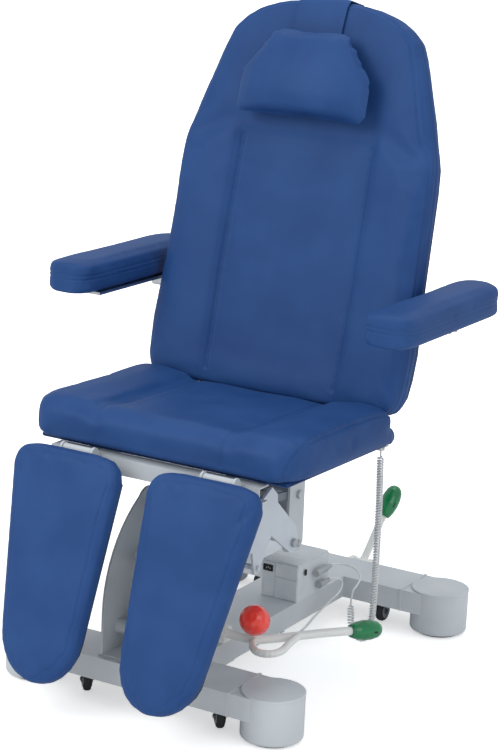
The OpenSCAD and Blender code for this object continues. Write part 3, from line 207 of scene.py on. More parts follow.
def stretched(tree, place, scale):
    """Coordinates squeezed along each axis, so that a pattern in them turns into streaks."""
    mapping = add_node(tree, "ShaderNodeMapping", [(place, "Vector")])
    mapping.inputs["Scale"].default_value = scale
    return mapping.outputs["Vector"]


def plain_metal(name, low, high, rough, scratch_mm=1.2):
    """Bare plated or turned steel: a metallic surface with fine drawn marks and spangle."""
    material, tree, shader, place = new_material(name)
    marks = pattern(tree, stretched(tree, place, (1, 1, 12)), scratch_mm, 3)
    spangle = pattern(tree, place, 9)
    wire(tree, shader, ramp_between(tree, spangle, low, high),
         roughness_between(tree, marks, rough * 0.7, rough * 1.3), bump(tree, marks, 0.08, 0.05))
    shader.inputs["Metallic"].default_value = 1
    return material


def rubber(name, low, high, rough=0.7):
    """Moulded rubber: matt, with a fine bloom."""
    material, tree, shader, place = new_material(name)
    bloom = pattern(tree, place, 14, 4)
    grain = pattern(tree, place, 0.7)
    wire(tree, shader, ramp_between(tree, bloom, low, high),
         roughness_between(tree, bloom, rough - 0.08, rough + 0.1), bump(tree, grain, 0.3, 0.1))
    return material


def painted_ply(name):
    """Birch plywood under matt black paint: its grain, every 6 mm, still shows through."""
    material, tree, shader, place = new_material(name)
    grain = pattern(tree, stretched(tree, place, (1, 0.08, 1)), 6, 4)
    wire(tree, shader, ramp_between(tree, grain, "#1D1F24", "#292C33"),
         roughness_between(tree, grain, 0.45, 0.62), bump(tree, grain, 0.2, 0.15))
    return material


VINYL = coated_vinyl("royal_blue_pvc_vinyl", "#21447A", "#284C82", 0.54)
SHELL_VINYL = coated_vinyl("dark_blue_pvc_backing", "#1B3663", "#203D6D", 0.55)
GREY_STEEL = powder_coat("light_grey_powder_coat", "#BFC5C9", "#CACFD2")
WHITE_STEEL = powder_coat("pale_blue_grey_powder_coat", "#C9D1D9", "#D4DBE2", 0.32)
DARK_GREY_STEEL = powder_coat("mid_grey_powder_coat", "#6D747B", "#79818A", 0.4)
CREAM_STEEL = powder_coat("off_white_powder_coat", "#EAECE7", "#F1F2EE", 0.3)
ZINC = plain_metal("bright_zinc_plate", "#B3B7BA", "#C6CACC", 0.3)
CHROME = plain_metal("hard_chrome", "#D5D7D9", "#DFE1E2", 0.09, 0.8)
DARK_ZINC = plain_metal("dark_zinc_plate", "#6E7276", "#7E8286", 0.42)
GREEN_ABS = moulded_plastic("glossy_green_abs", "#087342", "#0C834C", 0.2, 6, 0.03, 0.25)
RED_ABS = moulded_plastic("glossy_red_abs", "#FA4136", "#FF4A3E", 0.2, 6, 0.03, 0.3)
BLACK_NYLON = moulded_plastic("black_glass_filled_nylon", "#141517", "#1D1E21", 0.42)
BOX_ABS = moulded_plastic("blue_grey_textured_abs", "#CCD2D6", "#D5DADD", 0.5, 1.1, 0.4)
RAM_ABS = moulded_plastic("grey_actuator_housing", "#84898E", "#8F9499", 0.45)
TYRE = rubber("black_polyurethane_tyre", "#1A1B1C", "#242526", 0.6)
FOOT_RUBBER = rubber("black_foot_rubber", "#151515", "#202020")
PLUG_RUBBER = rubber("grey_moulded_pvc", "#A3A7AA", "#B0B4B6", 0.5)
CORD_PVC = rubber("light_grey_polyurethane_sheath", "#D6D9DA", "#E2E4E5", 0.42)
PLY = painted_ply("black_painted_birch_plywood")

NODE_FINISH = {
    GREY_STEEL: ["base_frame", "foot_caps", "front_tower", "ram_bracket", "seat_frame", "seat_hanger",
                 "back_frame", "leg_frame_left", "leg_frame_right"],
    WHITE_STEEL: ["lift_arm"],
    DARK_GREY_STEEL: ["tie_bars"],
    CREAM_STEEL: ["front_pedal_tube", "rear_pedal_tube", "pedal_bearings"],
    ZINC: ["hanger_bolts", "cord_clip", "armrest_bracket_left", "armrest_bracket_right"],
    CHROME: ["ram_rod"],
    GREEN_ABS: ["front_green_knobs", "rear_green_knob"],
    RED_ABS: ["front_red_knobs"],
    BLACK_NYLON: ["tower_caps", "leg_lever_left", "leg_lever_right"],
    BOX_ABS: ["control_box", "control_box_cover"],
    RAM_ABS: ["ram_tube"],
    FOOT_RUBBER: ["foot_pads"],
    PLUG_RUBBER: ["cord_plugs"],
    PLY: ["leg_slide_left", "leg_slide_right"],
    SHELL_VINYL: ["back_shell"],
}
for corner in ("front_left", "front_right", "rear_left", "rear_right"):
    NODE_FINISH[ZINC].append("castor_carrier_" + corner)
    NODE_FINISH.setdefault(DARK_ZINC, []).append("castor_fork_" + corner)
    NODE_FINISH.setdefault(TYRE, []).append("castor_wheel_" + corner)


def cover_in(piece, material):
    """Gives a piece one material all over."""
    piece.data.materials.clear()
    piece.data.materials.append(material)


for material, nodes in NODE_FINISH.items():
    for node in nodes:
        cover_in(frame["nodes"][node], material)


# ---------------------------------------------------------------- pieces
# How near two points lie, in metres, to be one point: in a piece made here, and in a CAD node's mesh.
PIECE_WELD = 0.00002
CAD_WELD = 0.00005


def smooth_by_angle(piece, degrees):
    """Smooth shading that keeps the edges sharper than an angle."""
    with bpy.context.temp_override(object=piece, active_object=piece, selected_objects=[piece],
                                   selected_editable_objects=[piece]):
        bpy.ops.object.shade_smooth_by_angle(angle=math.radians(degrees))


def piece_from_bmesh(name, bm, material, body, smooth_angle):
    """Closes a bmesh into a finished piece that rides on a CAD body."""
    bmesh.ops.remove_doubles(bm, verts=bm.verts, dist=PIECE_WELD)
    bmesh.ops.recalc_face_normals(bm, faces=bm.faces)
    mesh = bpy.data.meshes.new(name)
    bm.to_mesh(mesh)
    bm.free()
    mesh.materials.append(material)
    piece = bpy.data.objects.new(name, mesh)
    bpy.context.collection.objects.link(piece)
    mesh.shade_smooth()
    smooth_by_angle(piece, smooth_angle)
    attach(piece, body)


def tube_through(name, points, radius, material, sides):
    """A mesh tube of one radius along a line of points, made by a curve's round bevel."""
    curve = bpy.data.curves.new(name, "CURVE")
    curve.dimensions = "3D"
    curve.bevel_depth = radius
    curve.bevel_resolution = max(1, sides // 4)
    curve.use_fill_caps = True
    spline = curve.splines.new("POLY")
    spline.points.add(len(points) - 1)
    for point, place in zip(spline.points, points):
        point.co = (*place, 1)
    holder = bpy.data.objects.new(name, curve)
    bpy.context.collection.objects.link(holder)
    mesh = bpy.data.meshes.new_from_object(holder.evaluated_get(bpy.context.evaluated_depsgraph_get()))
    bpy.data.objects.remove(holder)
    tube = bpy.data.objects.new(name, mesh)
    bpy.context.collection.objects.link(tube)
    cover_in(tube, material)
    mesh.shade_smooth()
    return tube


# ---------------------------------------------------------------- cords
# All in millimetres, in the CAD source's own frame: the source moves the whole chair by CENTRE_Y at the end.
CENTRE_Y = 21.7
CURL_CABLE = 4.2
CURL_RADIUS = 5.8
CURL_COUNT = 84
CURL_START_SHARE = 0.34
STATIONS_PER_CURL = 16
STRAIGHT_STATIONS = 40
LEAD_DIAMETER = 5
# Two right-angle plugs, 16 mm thick, lie against the wall of the control box, the upper one 62 percent of the
# way up the box, and point to the rear.
PLUG_HALF = 8
PLUG_X = 75 + 3 + PLUG_HALF
PLUG_Y = 166
PLUG_Z = 100 + 0.62 * 86
PLUG_LENGTH = 46
STRAIN_RELIEF = 24
CURL_EXIT = Vector((PLUG_X, PLUG_Y + PLUG_LENGTH + STRAIN_RELIEF - PLUG_HALF, PLUG_Z))
CURL_END = Vector((282, 56, 503))
CURL_ROUTE = [
    CURL_EXIT, CURL_EXIT + Vector((0, 5, 0)), CURL_EXIT + Vector((0, 12, 0)),
    (98, 262, 150), (130, 262, 146), (166, 222, 144), (190, 160, 148), (204, 116, 152), (212, 94, 140),
    (215, 90, 110), (220, 88, 78), (240, 87, 58), (262, 86, 70), (270, 84, 110), (273, 82, 180),
    (275, 78, 280), (278, 70, 380), (281, 60, 450),
    CURL_END - Vector((0, 0, 20)), CURL_END - Vector((0, 0, 10)), CURL_END,
]
LEAD_EXIT = Vector((PLUG_X, PLUG_Y - PLUG_HALF + 64, PLUG_Z - 32))
LEAD_GLAND = Vector((58, 62, 38))
LEAD_ROUTE = [
    LEAD_EXIT, LEAD_EXIT + Vector((0, 6, 0)), LEAD_EXIT + Vector((0, 13, 0)),
    (96, 264, 110), (104, 246, 92), (102, 200, 78), (98, 150, 62), (90, 108, 38), (76, 80, 22),
    (63, 66, 16), LEAD_GLAND - Vector((0, 0, 14)), LEAD_GLAND - Vector((0, 0, 7)), LEAD_GLAND,
]


def smooth_route(points, per_span):
    """The same soft curve through a route's points as the CAD source draws, moved with the whole chair."""
    p = [Vector(v) + Vector((0, CENTRE_Y, 0)) for v in points]
    out = []
    for i in range(len(p) - 1):
        a, b, c, d = p[max(i - 1, 0)], p[i], p[i + 1], p[min(i + 2, len(p) - 1)]
        for j in range(per_span):
            t = j / per_span
            out.append(0.5 * (2 * b + (c - a) * t + (2 * a - 5 * b + 4 * c - d) * t * t
                              + (3 * b - a - 3 * c + d) * t ** 3))
    return out + [p[-1]]


def run_lengths(points):
    """How far along its line each point lies."""
    total, out = 0.0, [0.0]
    for a, b in zip(points, points[1:]):
        total += (b - a).length
        out.append(total)
    return out


def curled(points):
    """Winds a route into curls from a share of its length on: the centreline of the cable."""
    along = run_lengths(points)
    total = along[-1]
    first, last = CURL_START_SHARE * total, total - 3 * CURL_CABLE
    pitch = (last - first) / CURL_COUNT

    def at(s):
        """The place at a length along the route."""
        s = min(max(s, 0), total)
        i = next(k for k in range(1, len(along)) if along[k] >= s - 1e-9)
        t = (s - along[i - 1]) / max(along[i] - along[i - 1], 1e-9)
        return points[i - 1].lerp(points[i], t)

    def centre(s):
        """The cable's middle there: its curls grow and fade over one turn at both ends."""
        way = (at(s + 2) - at(s - 2)).normalized()
        across = way.cross(Vector((0, 1, 0.001))).normalized()
        other = way.cross(across)
        angle = 2 * math.pi * CURL_COUNT * min(max((s - first) / (last - first), 0), 1)
        grow = min(max((s - first) / pitch, 0), 1) * min(max((last - s) / pitch, 0), 1)
        return at(s) + CURL_RADIUS * grow * (math.cos(angle) * across + math.sin(angle) * other)

    stations = [first * i / STRAIGHT_STATIONS for i in range(STRAIGHT_STATIONS)]
    stations += [first + i * pitch / STATIONS_PER_CURL for i in range(CURL_COUNT * STATIONS_PER_CURL + 1)]
    stations += [total - 2 * CURL_CABLE, total - CURL_CABLE, total]
    return [centre(s) * MM for s in stations]


def free_cord(name, line, diameter_mm, node, sides):
    """A cord's mesh tube along its line, in place of its CAD node; its length is measured but not used."""
    cord = tube_through(name, line, diameter_mm * MM / 2, CORD_PVC, sides)
    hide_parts(node)
    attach(cord, "base")
    run_lengths(line)[-1]


curl_line = curled(smooth_route(CURL_ROUTE, 6))
lead_line = [p * MM for p in smooth_route(LEAD_ROUTE, 5)]
free_cord("curly_handset_cord", curl_line, CURL_CABLE, "curly_cord", sides=8)
free_cord("thin_lead_cord", lead_line, LEAD_DIAMETER, "thin_lead", sides=12)


# ---------------------------------------------------------------- upholstery
def merged_copy(node, name):
    """A copy of a CAD node's mesh with its loose triangles joined."""
    mesh = frame["nodes"][node].data.copy()
    mesh.name = name
    bm = bmesh.new()
    bm.from_mesh(mesh)
    bmesh.ops.remove_doubles(bm, verts=bm.verts, dist=CAD_WELD)
    bm.to_mesh(mesh)
    bm.free()
    piece = bpy.data.objects.new(name, mesh)
    bpy.context.collection.objects.link(piece)
    return piece


def apply_modifiers(piece):
    """Leaves the piece as its modifiers show it, with none of them left on it."""
    mesh = bpy.data.meshes.new_from_object(piece.evaluated_get(bpy.context.evaluated_depsgraph_get()))
    old = piece.data
    piece.modifiers.clear()
    piece.data = mesh
    bpy.data.meshes.remove(old)


def add_modifier(piece, kind, **settings):
    """Adds one modifier with its settings."""
    modifier = piece.modifiers.new(kind.lower(), kind)
    for name, value in settings.items():
        setattr(modifier, name, value)


# A stiff vinyl cover: kilograms to a point, then how it resists stretch, shear and bending.
CLOTH_SETTINGS = {"quality": 4, "mass": 0.35, "tension_stiffness": 30, "compression_stiffness": 30,
                  "shear_stiffness": 12, "bending_stiffness": 4, "use_pressure": True,
                  "vertex_group_mass": "stapled"}
CLOTH_FRAMES = 20


def stuffed(piece, rest_normal, rest_depth, pressure, cap_mm, held):
    """Blows the cover up a little with cloth pressure, held where it is stapled down, and caps the move."""
    group = piece.vertex_groups.new(name="stapled")
    start = [v.co.copy() for v in piece.data.vertices]
    normal = Vector(rest_normal)
    for v in piece.data.vertices:
        if v.co.dot(normal) < rest_depth or (held and held(v.co)):
            group.add([v.index], 1.0, "REPLACE")
    cloth = piece.modifiers.new("cloth", "CLOTH")
    settings = cloth.settings
    for name, value in CLOTH_SETTINGS.items():
        setattr(settings, name, value)
    settings.uniform_pressure_force = pressure
    settings.effector_weights.gravity = 0
    cloth.collision_settings.use_collision = False
    scene = bpy.context.scene
    scene.frame_start, scene.frame_end = 1, CLOTH_FRAMES
    for number in range(1, CLOTH_FRAMES + 1):
        scene.frame_set(number)
    cover = piece.evaluated_get(bpy.context.evaluated_depsgraph_get()).data
    moved = [v.co.copy() for v in cover.vertices]
    piece.modifiers.clear()
    scene.frame_set(1)
    cap = cap_mm * MM
    for v, old, new in zip(piece.data.vertices, start, moved):
        step = new - old
        v.co = old + (step * (cap / step.length) if step.length > cap else step)
    piece.vertex_groups.clear()


def smooth_cover(piece):
    """Evens the cover out: each point moves half way to the middle of its neighbours, twice."""
    bm = bmesh.new()
    bm.from_mesh(piece.data)
    for _ in range(2):
        bmesh.ops.smooth_vert(bm, verts=bm.verts, factor=0.5,
                              use_axis_x=True, use_axis_y=True, use_axis_z=True)
    bm.to_mesh(piece.data)
    bm.free()


def tree_of(points):
    """The points, ready to be asked which of them is nearest."""
    tree = KDTree(len(points))
    for count, point in enumerate(points):
        tree.insert(point, count)
    tree.balance()
    return tree


# In seam widths: how far a seam still shapes the cover, and where the foam beside it stands highest.
SEAM_REACH = 4
SEAM_LIP = 2.2


def press_seams(piece, seams, depth_mm, width_mm, lip_mm):
    """Draws the cover in along sewn lines, with a slight swell of foam on both sides of each."""
    tree = tree_of([point for seam in seams for point in seam])
    width, depth, lip = width_mm * MM, depth_mm * MM, lip_mm * MM
    normals = [v.normal.copy() for v in piece.data.vertices]
    for v, normal in zip(piece.data.vertices, normals):
        gap = tree.find(v.co)[2]
        if gap < SEAM_REACH * width:
            x = gap / width
            v.co -= normal * (depth * math.exp(-x * x) - lip * math.exp(-(x - SEAM_LIP) ** 2))


def dense(points, step):
    """The same line with points no further apart than a step."""
    out = [points[0]]
    for a, b in zip(points, points[1:]):
        n = max(1, math.ceil((b - a).length / step))
        out += [a.lerp(b, k / n) for k in range(1, n + 1)]
    return out


def surface_of(piece):
    """The piece's surface, ready for rays."""
    mesh = piece.data
    return BVHTree.FromPolygons([v.co for v in mesh.vertices], [p.vertices for p in mesh.polygons])


def laid_on(tree, starts, way):
    """Where a row of points meets the cover when it is pushed along one way."""
    way = Vector(way).normalized()
    hits = [tree.ray_cast(p, way)[0] for p in starts]
    return [h for h in hits if h is not None]


def loop_round(tree, centre, axis_a, axis_b, reach, turns):
    """Where rays from outside towards a centre meet the cover, all round it in one plane."""
    out = []
    for k in range(turns):
        angle = 2 * math.pi * k / turns
        way = math.cos(angle) * axis_a + math.sin(angle) * axis_b
        hit = tree.ray_cast(centre + way * reach, -way)[0]
        if hit is not None:
            out.append(hit)
    return out + out[:1]


def crisp_rim(piece, line, reach_mm=7, share=0.9, rounds=2):
    """Draws the cover out to its sewn edge: what lies near the line is pulled on to it."""
    tree = tree_of(line)
    for _ in range(rounds):
        for v in piece.data.vertices:
            place, _, gap = tree.find(v.co)
            v.co = v.co.lerp(place, share * math.exp(-(gap / (reach_mm * MM)) ** 2))


# Before it is stuffed the cover shrinks, by millimetres, except in a strip, in metres, next to its board.
COVER_SHRINK = 0.8
BOARD_STRIP = 0.002
# How far apart the points of a sewn rim and of a seam may lie, in metres.
RIM_STEP = 0.002
SEAM_STEP = 0.0025


def make_cushion(node, name, body, rest_normal, rest_depth, seam_maker, voxel_mm, cap_mm, pressure=4,
                 rim=None, held=None):
    """One upholstered pad: the CAD form, remeshed, stuffed, smoothed, subdivided once and sewn."""
    piece = merged_copy(node, name)
    bm = bmesh.new()
    bm.from_mesh(piece.data)
    bm.normal_update()
    low = min(v.co.dot(Vector(rest_normal)) for v in bm.verts)
    for v in bm.verts:
        if v.co.dot(Vector(rest_normal)) > low + BOARD_STRIP:
            v.co -= v.normal * COVER_SHRINK * MM
    bm.to_mesh(piece.data)
    bm.free()
    add_modifier(piece, "REMESH", mode="VOXEL", voxel_size=voxel_mm * MM, adaptivity=0)
    apply_modifiers(piece)
    smooth_cover(piece)
    stuffed(piece, rest_normal, rest_depth, pressure, cap_mm, held)
    smooth_cover(piece)
    add_modifier(piece, "SUBSURF", levels=1, render_levels=1)
    apply_modifiers(piece)
    if rim:
        crisp_rim(piece, dense(rim, RIM_STEP))
    seams = seam_maker(surface_of(piece))
    for lines, depth, width, lip in seams:
        press_seams(piece, [dense(line, SEAM_STEP) for line in lines], depth, width, lip)
    cover_in(piece, VINYL)
    piece.data.shade_smooth()
    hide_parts(node)
    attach(piece, body)


def tilted(place, degrees):
    """The frame of a piece that the CAD source turns about X at a place."""
    return Matrix.Translation(mm(*place)) @ Euler((math.radians(degrees), 0, 0)).to_matrix().to_4x4()


SEAT = tilted((0, 91.7, 524), -1.2)
BACK = tilted((0, 73.2, 588), -13.3)
LEG = tilted((0, -394.3, 527), -18)


def in_frame(place, *point):
    """A point given in millimetres in one of those frames."""
    return place @ mm(*point)


# Seams. Each maker below gives rows of: lines, then their depth, their width and the lip of foam beside them.
# All in millimetres in the piece's frame; rays start well outside the cover and stop on it.
# The seat's two channels: how far across each lies, and how far down the nose it runs.
LEFT_CHANNEL = (-152, 52)
RIGHT_CHANNEL = (153, 8)
CHANNEL_REAR, CHANNEL_FRONT = 62, 440
BOLSTER_REAR, BOLSTER_FRONT = 24, 380
# A bolster's edge turns down in front over a quarter ellipse, this long and this high.
CORNER_LENGTH, CORNER_HEIGHT = 82, 74
POINT_EVERY = 4


def seat_seams(tree):
    """Two channels over the seat and round its nose, and the edge along each bolster and round its front."""
    down = SEAT.to_3x3() @ Vector((0, 0, -1))
    rear = SEAT.to_3x3() @ Vector((0, 1, 0))

    def channel(x, nose_low):
        """One channel, over the top and then down the nose."""
        tops = [in_frame(SEAT, x, -y, 200) for y in range(CHANNEL_REAR, CHANNEL_FRONT, POINT_EVERY)]
        fronts = [in_frame(SEAT, x, -560, z) for z in range(56, nose_low, -POINT_EVERY)]
        return laid_on(tree, tops, down) + laid_on(tree, fronts, rear)

    edges = []
    for side in (-1, 1):
        starts = [in_frame(SEAT, side * 420, -y, 62 + min(12, 0.12 * y))
                  for y in range(BOLSTER_REAR, BOLSTER_FRONT, POINT_EVERY)]
        along_top = laid_on(tree, starts, Vector((-side, 0, 0)))
        corner = Vector((side * 0.8, -0.6, 0))
        turns = [math.radians(a) for a in range(0, 84, 3)]
        targets = [in_frame(SEAT, side * 300, -BOLSTER_FRONT - CORNER_LENGTH * math.sin(a),
                            CORNER_HEIGHT * math.cos(a)) for a in turns]
        edges.append(along_top + laid_on(tree, [t + corner * 0.16 for t in targets], -corner))
    return [([channel(*LEFT_CHANNEL)], 2.6, 8, 0.6), ([channel(*RIGHT_CHANNEL)], 2.2, 2.6, 0.5),
            (edges, 2.0, 2.6, 0.5)]


# Where the back's cover lies flat under strap and pillow: so far to both sides, from this height up.
HELD_HALF, HELD_FROM = 170, 575


def under_pillow(point):
    """Where the back's cover is held flat by the strap and the pillow on it."""
    x, _, z = (BACK.inverted() @ point) / MM
    return abs(x) < HELD_HALF and z > HELD_FROM


# The back's channels run between these heights, bowed in by 5 mm; a second row of stitches lies inside each,
# by metres.
BACK_CHANNEL_LOW, BACK_CHANNEL_HIGH = 24, 548
BACK_CHANNEL_X, BACK_CHANNEL_BOW = 164, 5
TWIN_STITCH = 0.011
# The recess across the back under the pillow.
RECESS_Z, RECESS_HALF = 552, 156
# The two boxing seams: their depth low down and at the top, in between which they creep forward.
BOXING_DEPTHS = ((2, -9), (20, 10))
BOXING_FROM, BOXING_RISE = 330, 270


def back_seams(tree):
    """Two bowed channels with their second stitches, the recess under the pillow, and the boxing seams."""
    rearward = BACK.to_3x3() @ Vector((0, 1, 0))
    channels = []
    for side in (-1, 1):
        line = [in_frame(BACK, side * (BACK_CHANNEL_X - BACK_CHANNEL_BOW * abs(z - 250) / 300), -160, z)
                for z in range(BACK_CHANNEL_LOW, BACK_CHANNEL_HIGH, 5)]
        channels.append(laid_on(tree, line, rearward))
    twins = [[q + Vector((-TWIN_STITCH if q.x > 0 else TWIN_STITCH, 0, 0)) for q in line]
             for line in channels]
    recess = [in_frame(BACK, x, -160, RECESS_Z) for x in range(-RECESS_HALF, RECESS_HALF + 1, POINT_EVERY)]
    across = [laid_on(tree, recess, rearward)]
    bands = [edge_seam(tree, low, high) for low, high in BOXING_DEPTHS]
    return [(channels, 3.0, 3.4, 0.6), (twins, 1.2, 2.4, 0.2), (across, 5.0, 22, 0), (bands, 1.8, 3.0, 0.5)]


def edge_seam(tree, depth_low, depth_high, turns=260):
    """A boxing seam round the back: on the side band low down, creeping on to the face towards the top."""
    out = []
    for k in range(turns):
        angle = 2 * math.pi * k / turns
        way = Vector((math.cos(angle), 0, math.sin(angle)))
        depth = 0
        for _ in range(2):
            inside = in_frame(BACK, 0, depth, 400)
            outward = BACK.to_3x3() @ way
            hit = tree.ray_cast(inside + outward * 0.8, -outward)[0]
            if hit is None:
                break
            height = (BACK.inverted() @ hit).z / MM
            share = min(max((height - BOXING_FROM) / BOXING_RISE, 0), 1)
            depth = depth_low + (depth_high - depth_low) * share
        if hit is not None:
            out.append(hit)
    return out + out[:1]


ACROSS = Vector((1, 0, 0))
# A leg pad's middle and how deep its two seams lie; the armrest pad's foot and how high its two seams lie.
LEG_PAD_X, LEG_PAD_Z = 152, -230
LEG_SEAM_DEPTHS = (-53.5, -27)
ARMREST_PLACE = (387, 73.7, 784.3)
ARMREST_SEAM_HEIGHTS = (40, 31)


def leg_seams(side):
    """The two seams round a leg pad."""
    def seams(tree):
        """Both of them, where they meet the cover."""
        centre = in_frame(LEG, side * LEG_PAD_X, 0, LEG_PAD_Z)
        turn = LEG.to_3x3()
        upward, deep = turn @ Vector((0, 0, 1)), turn @ Vector((0, 1, 0))
        bands = [loop_round(tree, centre + deep * (d * MM), ACROSS, upward, reach=0.45, turns=200)
                 for d in LEG_SEAM_DEPTHS]
        return [(bands, 1.2, 2.2, 0.4)]
    return seams


def armrest_seams(side):
    """The two seams round an armrest pad."""
    def seams(tree):
        """Both of them, where they meet the cover."""
        x, y, z = ARMREST_PLACE
        bands = [loop_round(tree, mm(side * x, y, z) + mm(0, 0, height), ACROSS, Vector((0, 1, 0)),
                            reach=0.4, turns=200) for height in ARMREST_SEAM_HEIGHTS]
        return [(bands, 1.1, 2.0, 0.4)]
    return seams


# The pillow's rim: its heights up the back, half its width and its depth, and its outline as shares of the
# height and of the half width.
PILLOW_LOW, PILLOW_HIGH, PILLOW_HALF, PILLOW_RIM_DEPTH = 590.2, 776.2, 161, -56
PILLOW_OUTLINE = [(0, 0.98), (0.24, 0.985), (0.43, 1.0), (0.65, 0.865), (0.82, 0.735), (1, 0.61)]


def pillow_rim():
    """The six-cornered line along which the pillow's two halves are sewn."""
    right = [(share * PILLOW_HALF, PILLOW_LOW + up * (PILLOW_HIGH - PILLOW_LOW))
             for up, share in PILLOW_OUTLINE]
    whole = right + [(-x, z) for x, z in reversed(right)] + right[:1]
    return [in_frame(BACK, x, PILLOW_RIM_DEPTH, z) for x, z in whole]


def pillow_seams(tree):
    """The stitching just behind the sewn rim."""
    centre = in_frame(BACK, 0, PILLOW_RIM_DEPTH + 7, 676)
    upward = BACK.to_3x3() @ Vector((0, 0, 1))
    return [([loop_round(tree, centre, ACROSS, upward, reach=0.4, turns=160)], 1.2, 2.5, 0.3)]


def depth_along(place, axis, value):
    """How far along an axis the plane lies that sits at this local depth."""
    way = (place.to_3x3() @ Vector(axis)).normalized()
    return way, (place @ (Vector(axis) * value * MM)).dot(way)


# A cover is held where it lies within HELD_MM of its board, the pillow's where it lies near its strap. The
# rears of a leg pad, the back cushion and the pillow lie so far in front of the origins of their frames.
HELD_MM = 4
PILLOW_HELD_MM = 3
LEG_REAR = 56 - 36
BACK_REAR = 18 - 65
PILLOW_REAR = 17.5 + 3.3
seat_up, seat_rest = depth_along(SEAT, (0, 0, 1), HELD_MM)
back_front, back_rest = depth_along(BACK, (0, -1, 0), BACK_REAR + HELD_MM)
leg_front, leg_rest = depth_along(LEG, (0, -1, 0), LEG_REAR + HELD_MM)
pillow_rest = depth_along(BACK, (0, -1, 0), PILLOW_REAR + PILLOW_HELD_MM)[1]
armrest_rest = (ARMREST_PLACE[2] + HELD_MM) * MM
make_cushion("seat_cushion", "seat_upholstery", "seat", seat_up, seat_rest, seat_seams,
             voxel_mm=6.5, cap_mm=5)
make_cushion("back_cushion", "back_upholstery", "back", back_front, back_rest, back_seams,
             voxel_mm=7.5, cap_mm=5, held=under_pillow)
for side, word in ((-1, "left"), (1, "right")):
    make_cushion("leg_pad_" + word, "leg_upholstery_" + word, "leg_slide_" + word, leg_front, leg_rest,
                 leg_seams(side), voxel_mm=5.5, cap_mm=2.5)
    make_cushion("armrest_pad_" + word, "armrest_upholstery_" + word, "armrest_" + word, Vector((0, 0, 1)),
                 armrest_rest, armrest_seams(side), voxel_mm=5, cap_mm=2.5)
make_cushion("headrest_pillow", "pillow_upholstery", "pillow", back_front, pillow_rest, pillow_seams,
             voxel_mm=5, cap_mm=8, pressure=5, rim=pillow_rim())

BOARD_INSET = 5 * MM


def make_board_cover():
    """The seat board, wrapped in vinyl: round edges that lie a little inside the cushion's."""
    piece = merged_copy("seat_board", "seat_board_cover")
    low, high = (Vector(c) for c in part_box("seat_board"))
    middle, half = (low + high) / 2, (high - low) / 2
    for v in piece.data.vertices:
        for axis in (0, 1):
            v.co[axis] -= BOARD_INSET * (v.co[axis] - middle[axis]) / half[axis]
    add_modifier(piece, "BEVEL", width=0.005, segments=3, limit_method="ANGLE",
                 angle_limit=math.radians(50))
    apply_modifiers(piece)
    cover_in(piece, VINYL)
    piece.data.shade_smooth()
    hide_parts("seat_board")
    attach(piece, "seat")


# The strap, in the back's frame: half its width in the CAD, the back's top, how far below that the strap has
# leant over in full, and how far down it follows the arch of the back's top.
STRAP_HALF = 72
BACK_TOP = 853
LEAN_LENGTH = 65
ARCH_LENGTH = 30
# Where its left and right edges lie at the top, and how far each has moved to the left below.
STRAP_LEFT, LEFT_LEAN = -65, 7
STRAP_RIGHT, RIGHT_LEAN = 56, 5


def make_strap():
    """The vinyl strap that holds the pillow: a little to the left, leaning, and laid over the back's arch."""
    piece = merged_copy("headrest_strap", "headrest_strap_cover")
    trees = [surface_of(frame["nodes"]["back_shell"]), surface_of(bpy.data.objects["back_upholstery"])]
    down, inverse = BACK.to_3x3() @ Vector((0, 0, -1)), BACK.inverted()

    def arch(x):
        """How high the back reaches at a place across it."""
        hits = [tree.ray_cast(in_frame(BACK, x, depth, 1000), down)[0]
                for tree in trees for depth in (0, 15, 30)]
        return max((inverse @ h).z for h in hits if h is not None)

    bm = bmesh.new()
    bm.from_mesh(piece.data)
    cuts = [(Vector((x * MM, 0, 0)), ACROSS) for x in range(-60, 61, 12)]
    for place, way in cuts + [(in_frame(BACK, 0, 0, BACK_TOP - LEAN_LENGTH), down)]:
        whole = bm.verts[:] + bm.edges[:] + bm.faces[:]
        bmesh.ops.bisect_plane(bm, geom=whole, plane_co=place, plane_no=way)
    for v in bm.verts:
        place = inverse @ v.co
        lean = min(max((BACK_TOP - place.z / MM) / LEAN_LENGTH, 0), 1) if place.y < 0 else 0
        left, right = STRAP_LEFT - LEFT_LEAN * lean, STRAP_RIGHT - RIGHT_LEAN * lean
        place.x = (left + (right - left) * (place.x / MM + STRAP_HALF) / (2 * STRAP_HALF)) * MM
        if place.z / MM > BACK_TOP - ARCH_LENGTH:
            place.z -= max(arch(0) - arch(place.x / MM), 0)
        v.co = BACK @ place
    bm.to_mesh(piece.data)
    bm.free()
    add_modifier(piece, "BEVEL", width=0.0009, segments=2, limit_method="ANGLE")
    apply_modifiers(piece)
    cover_in(piece, VINYL)
    smooth_by_angle(piece, 50)
    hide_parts("headrest_strap")
    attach(piece, "back")


make_board_cover()
make_strap()


# ---------------------------------------------------------------- small fittings
def set_along(bm, place, axes):
    """Moves a small part from the origin to its place, with its own axes laid along three others."""
    turn = Matrix([Vector(a).normalized() for a in axes]).transposed().to_4x4()
    bmesh.ops.transform(bm, matrix=Matrix.Translation(place) @ turn, verts=bm.verts)


def turned(name, profile_mm, place, axis, material, body):
    """A small part turned on a lathe from a profile of (radius, height), then set along an axis."""
    bm = bmesh.new()
    points = [bm.verts.new((r * MM, 0, h * MM)) for r, h in profile_mm]
    for a, b in zip(points, points[1:]):
        bm.edges.new((a, b))
    bmesh.ops.spin(bm, geom=bm.verts[:] + bm.edges[:], cent=(0, 0, 0), axis=(0, 0, 1), dvec=(0, 0, 0),
                   angle=2 * math.pi, steps=28, use_merge=True, use_normal_flip=False, use_duplicate=False)
    way = Vector(axis).normalized()
    turn = way.to_track_quat("Z", "Y").to_matrix().to_4x4()
    bmesh.ops.transform(bm, matrix=Matrix.Translation(place) @ turn, verts=bm.verts)
    piece_from_bmesh(name, bm, material, body, 35)


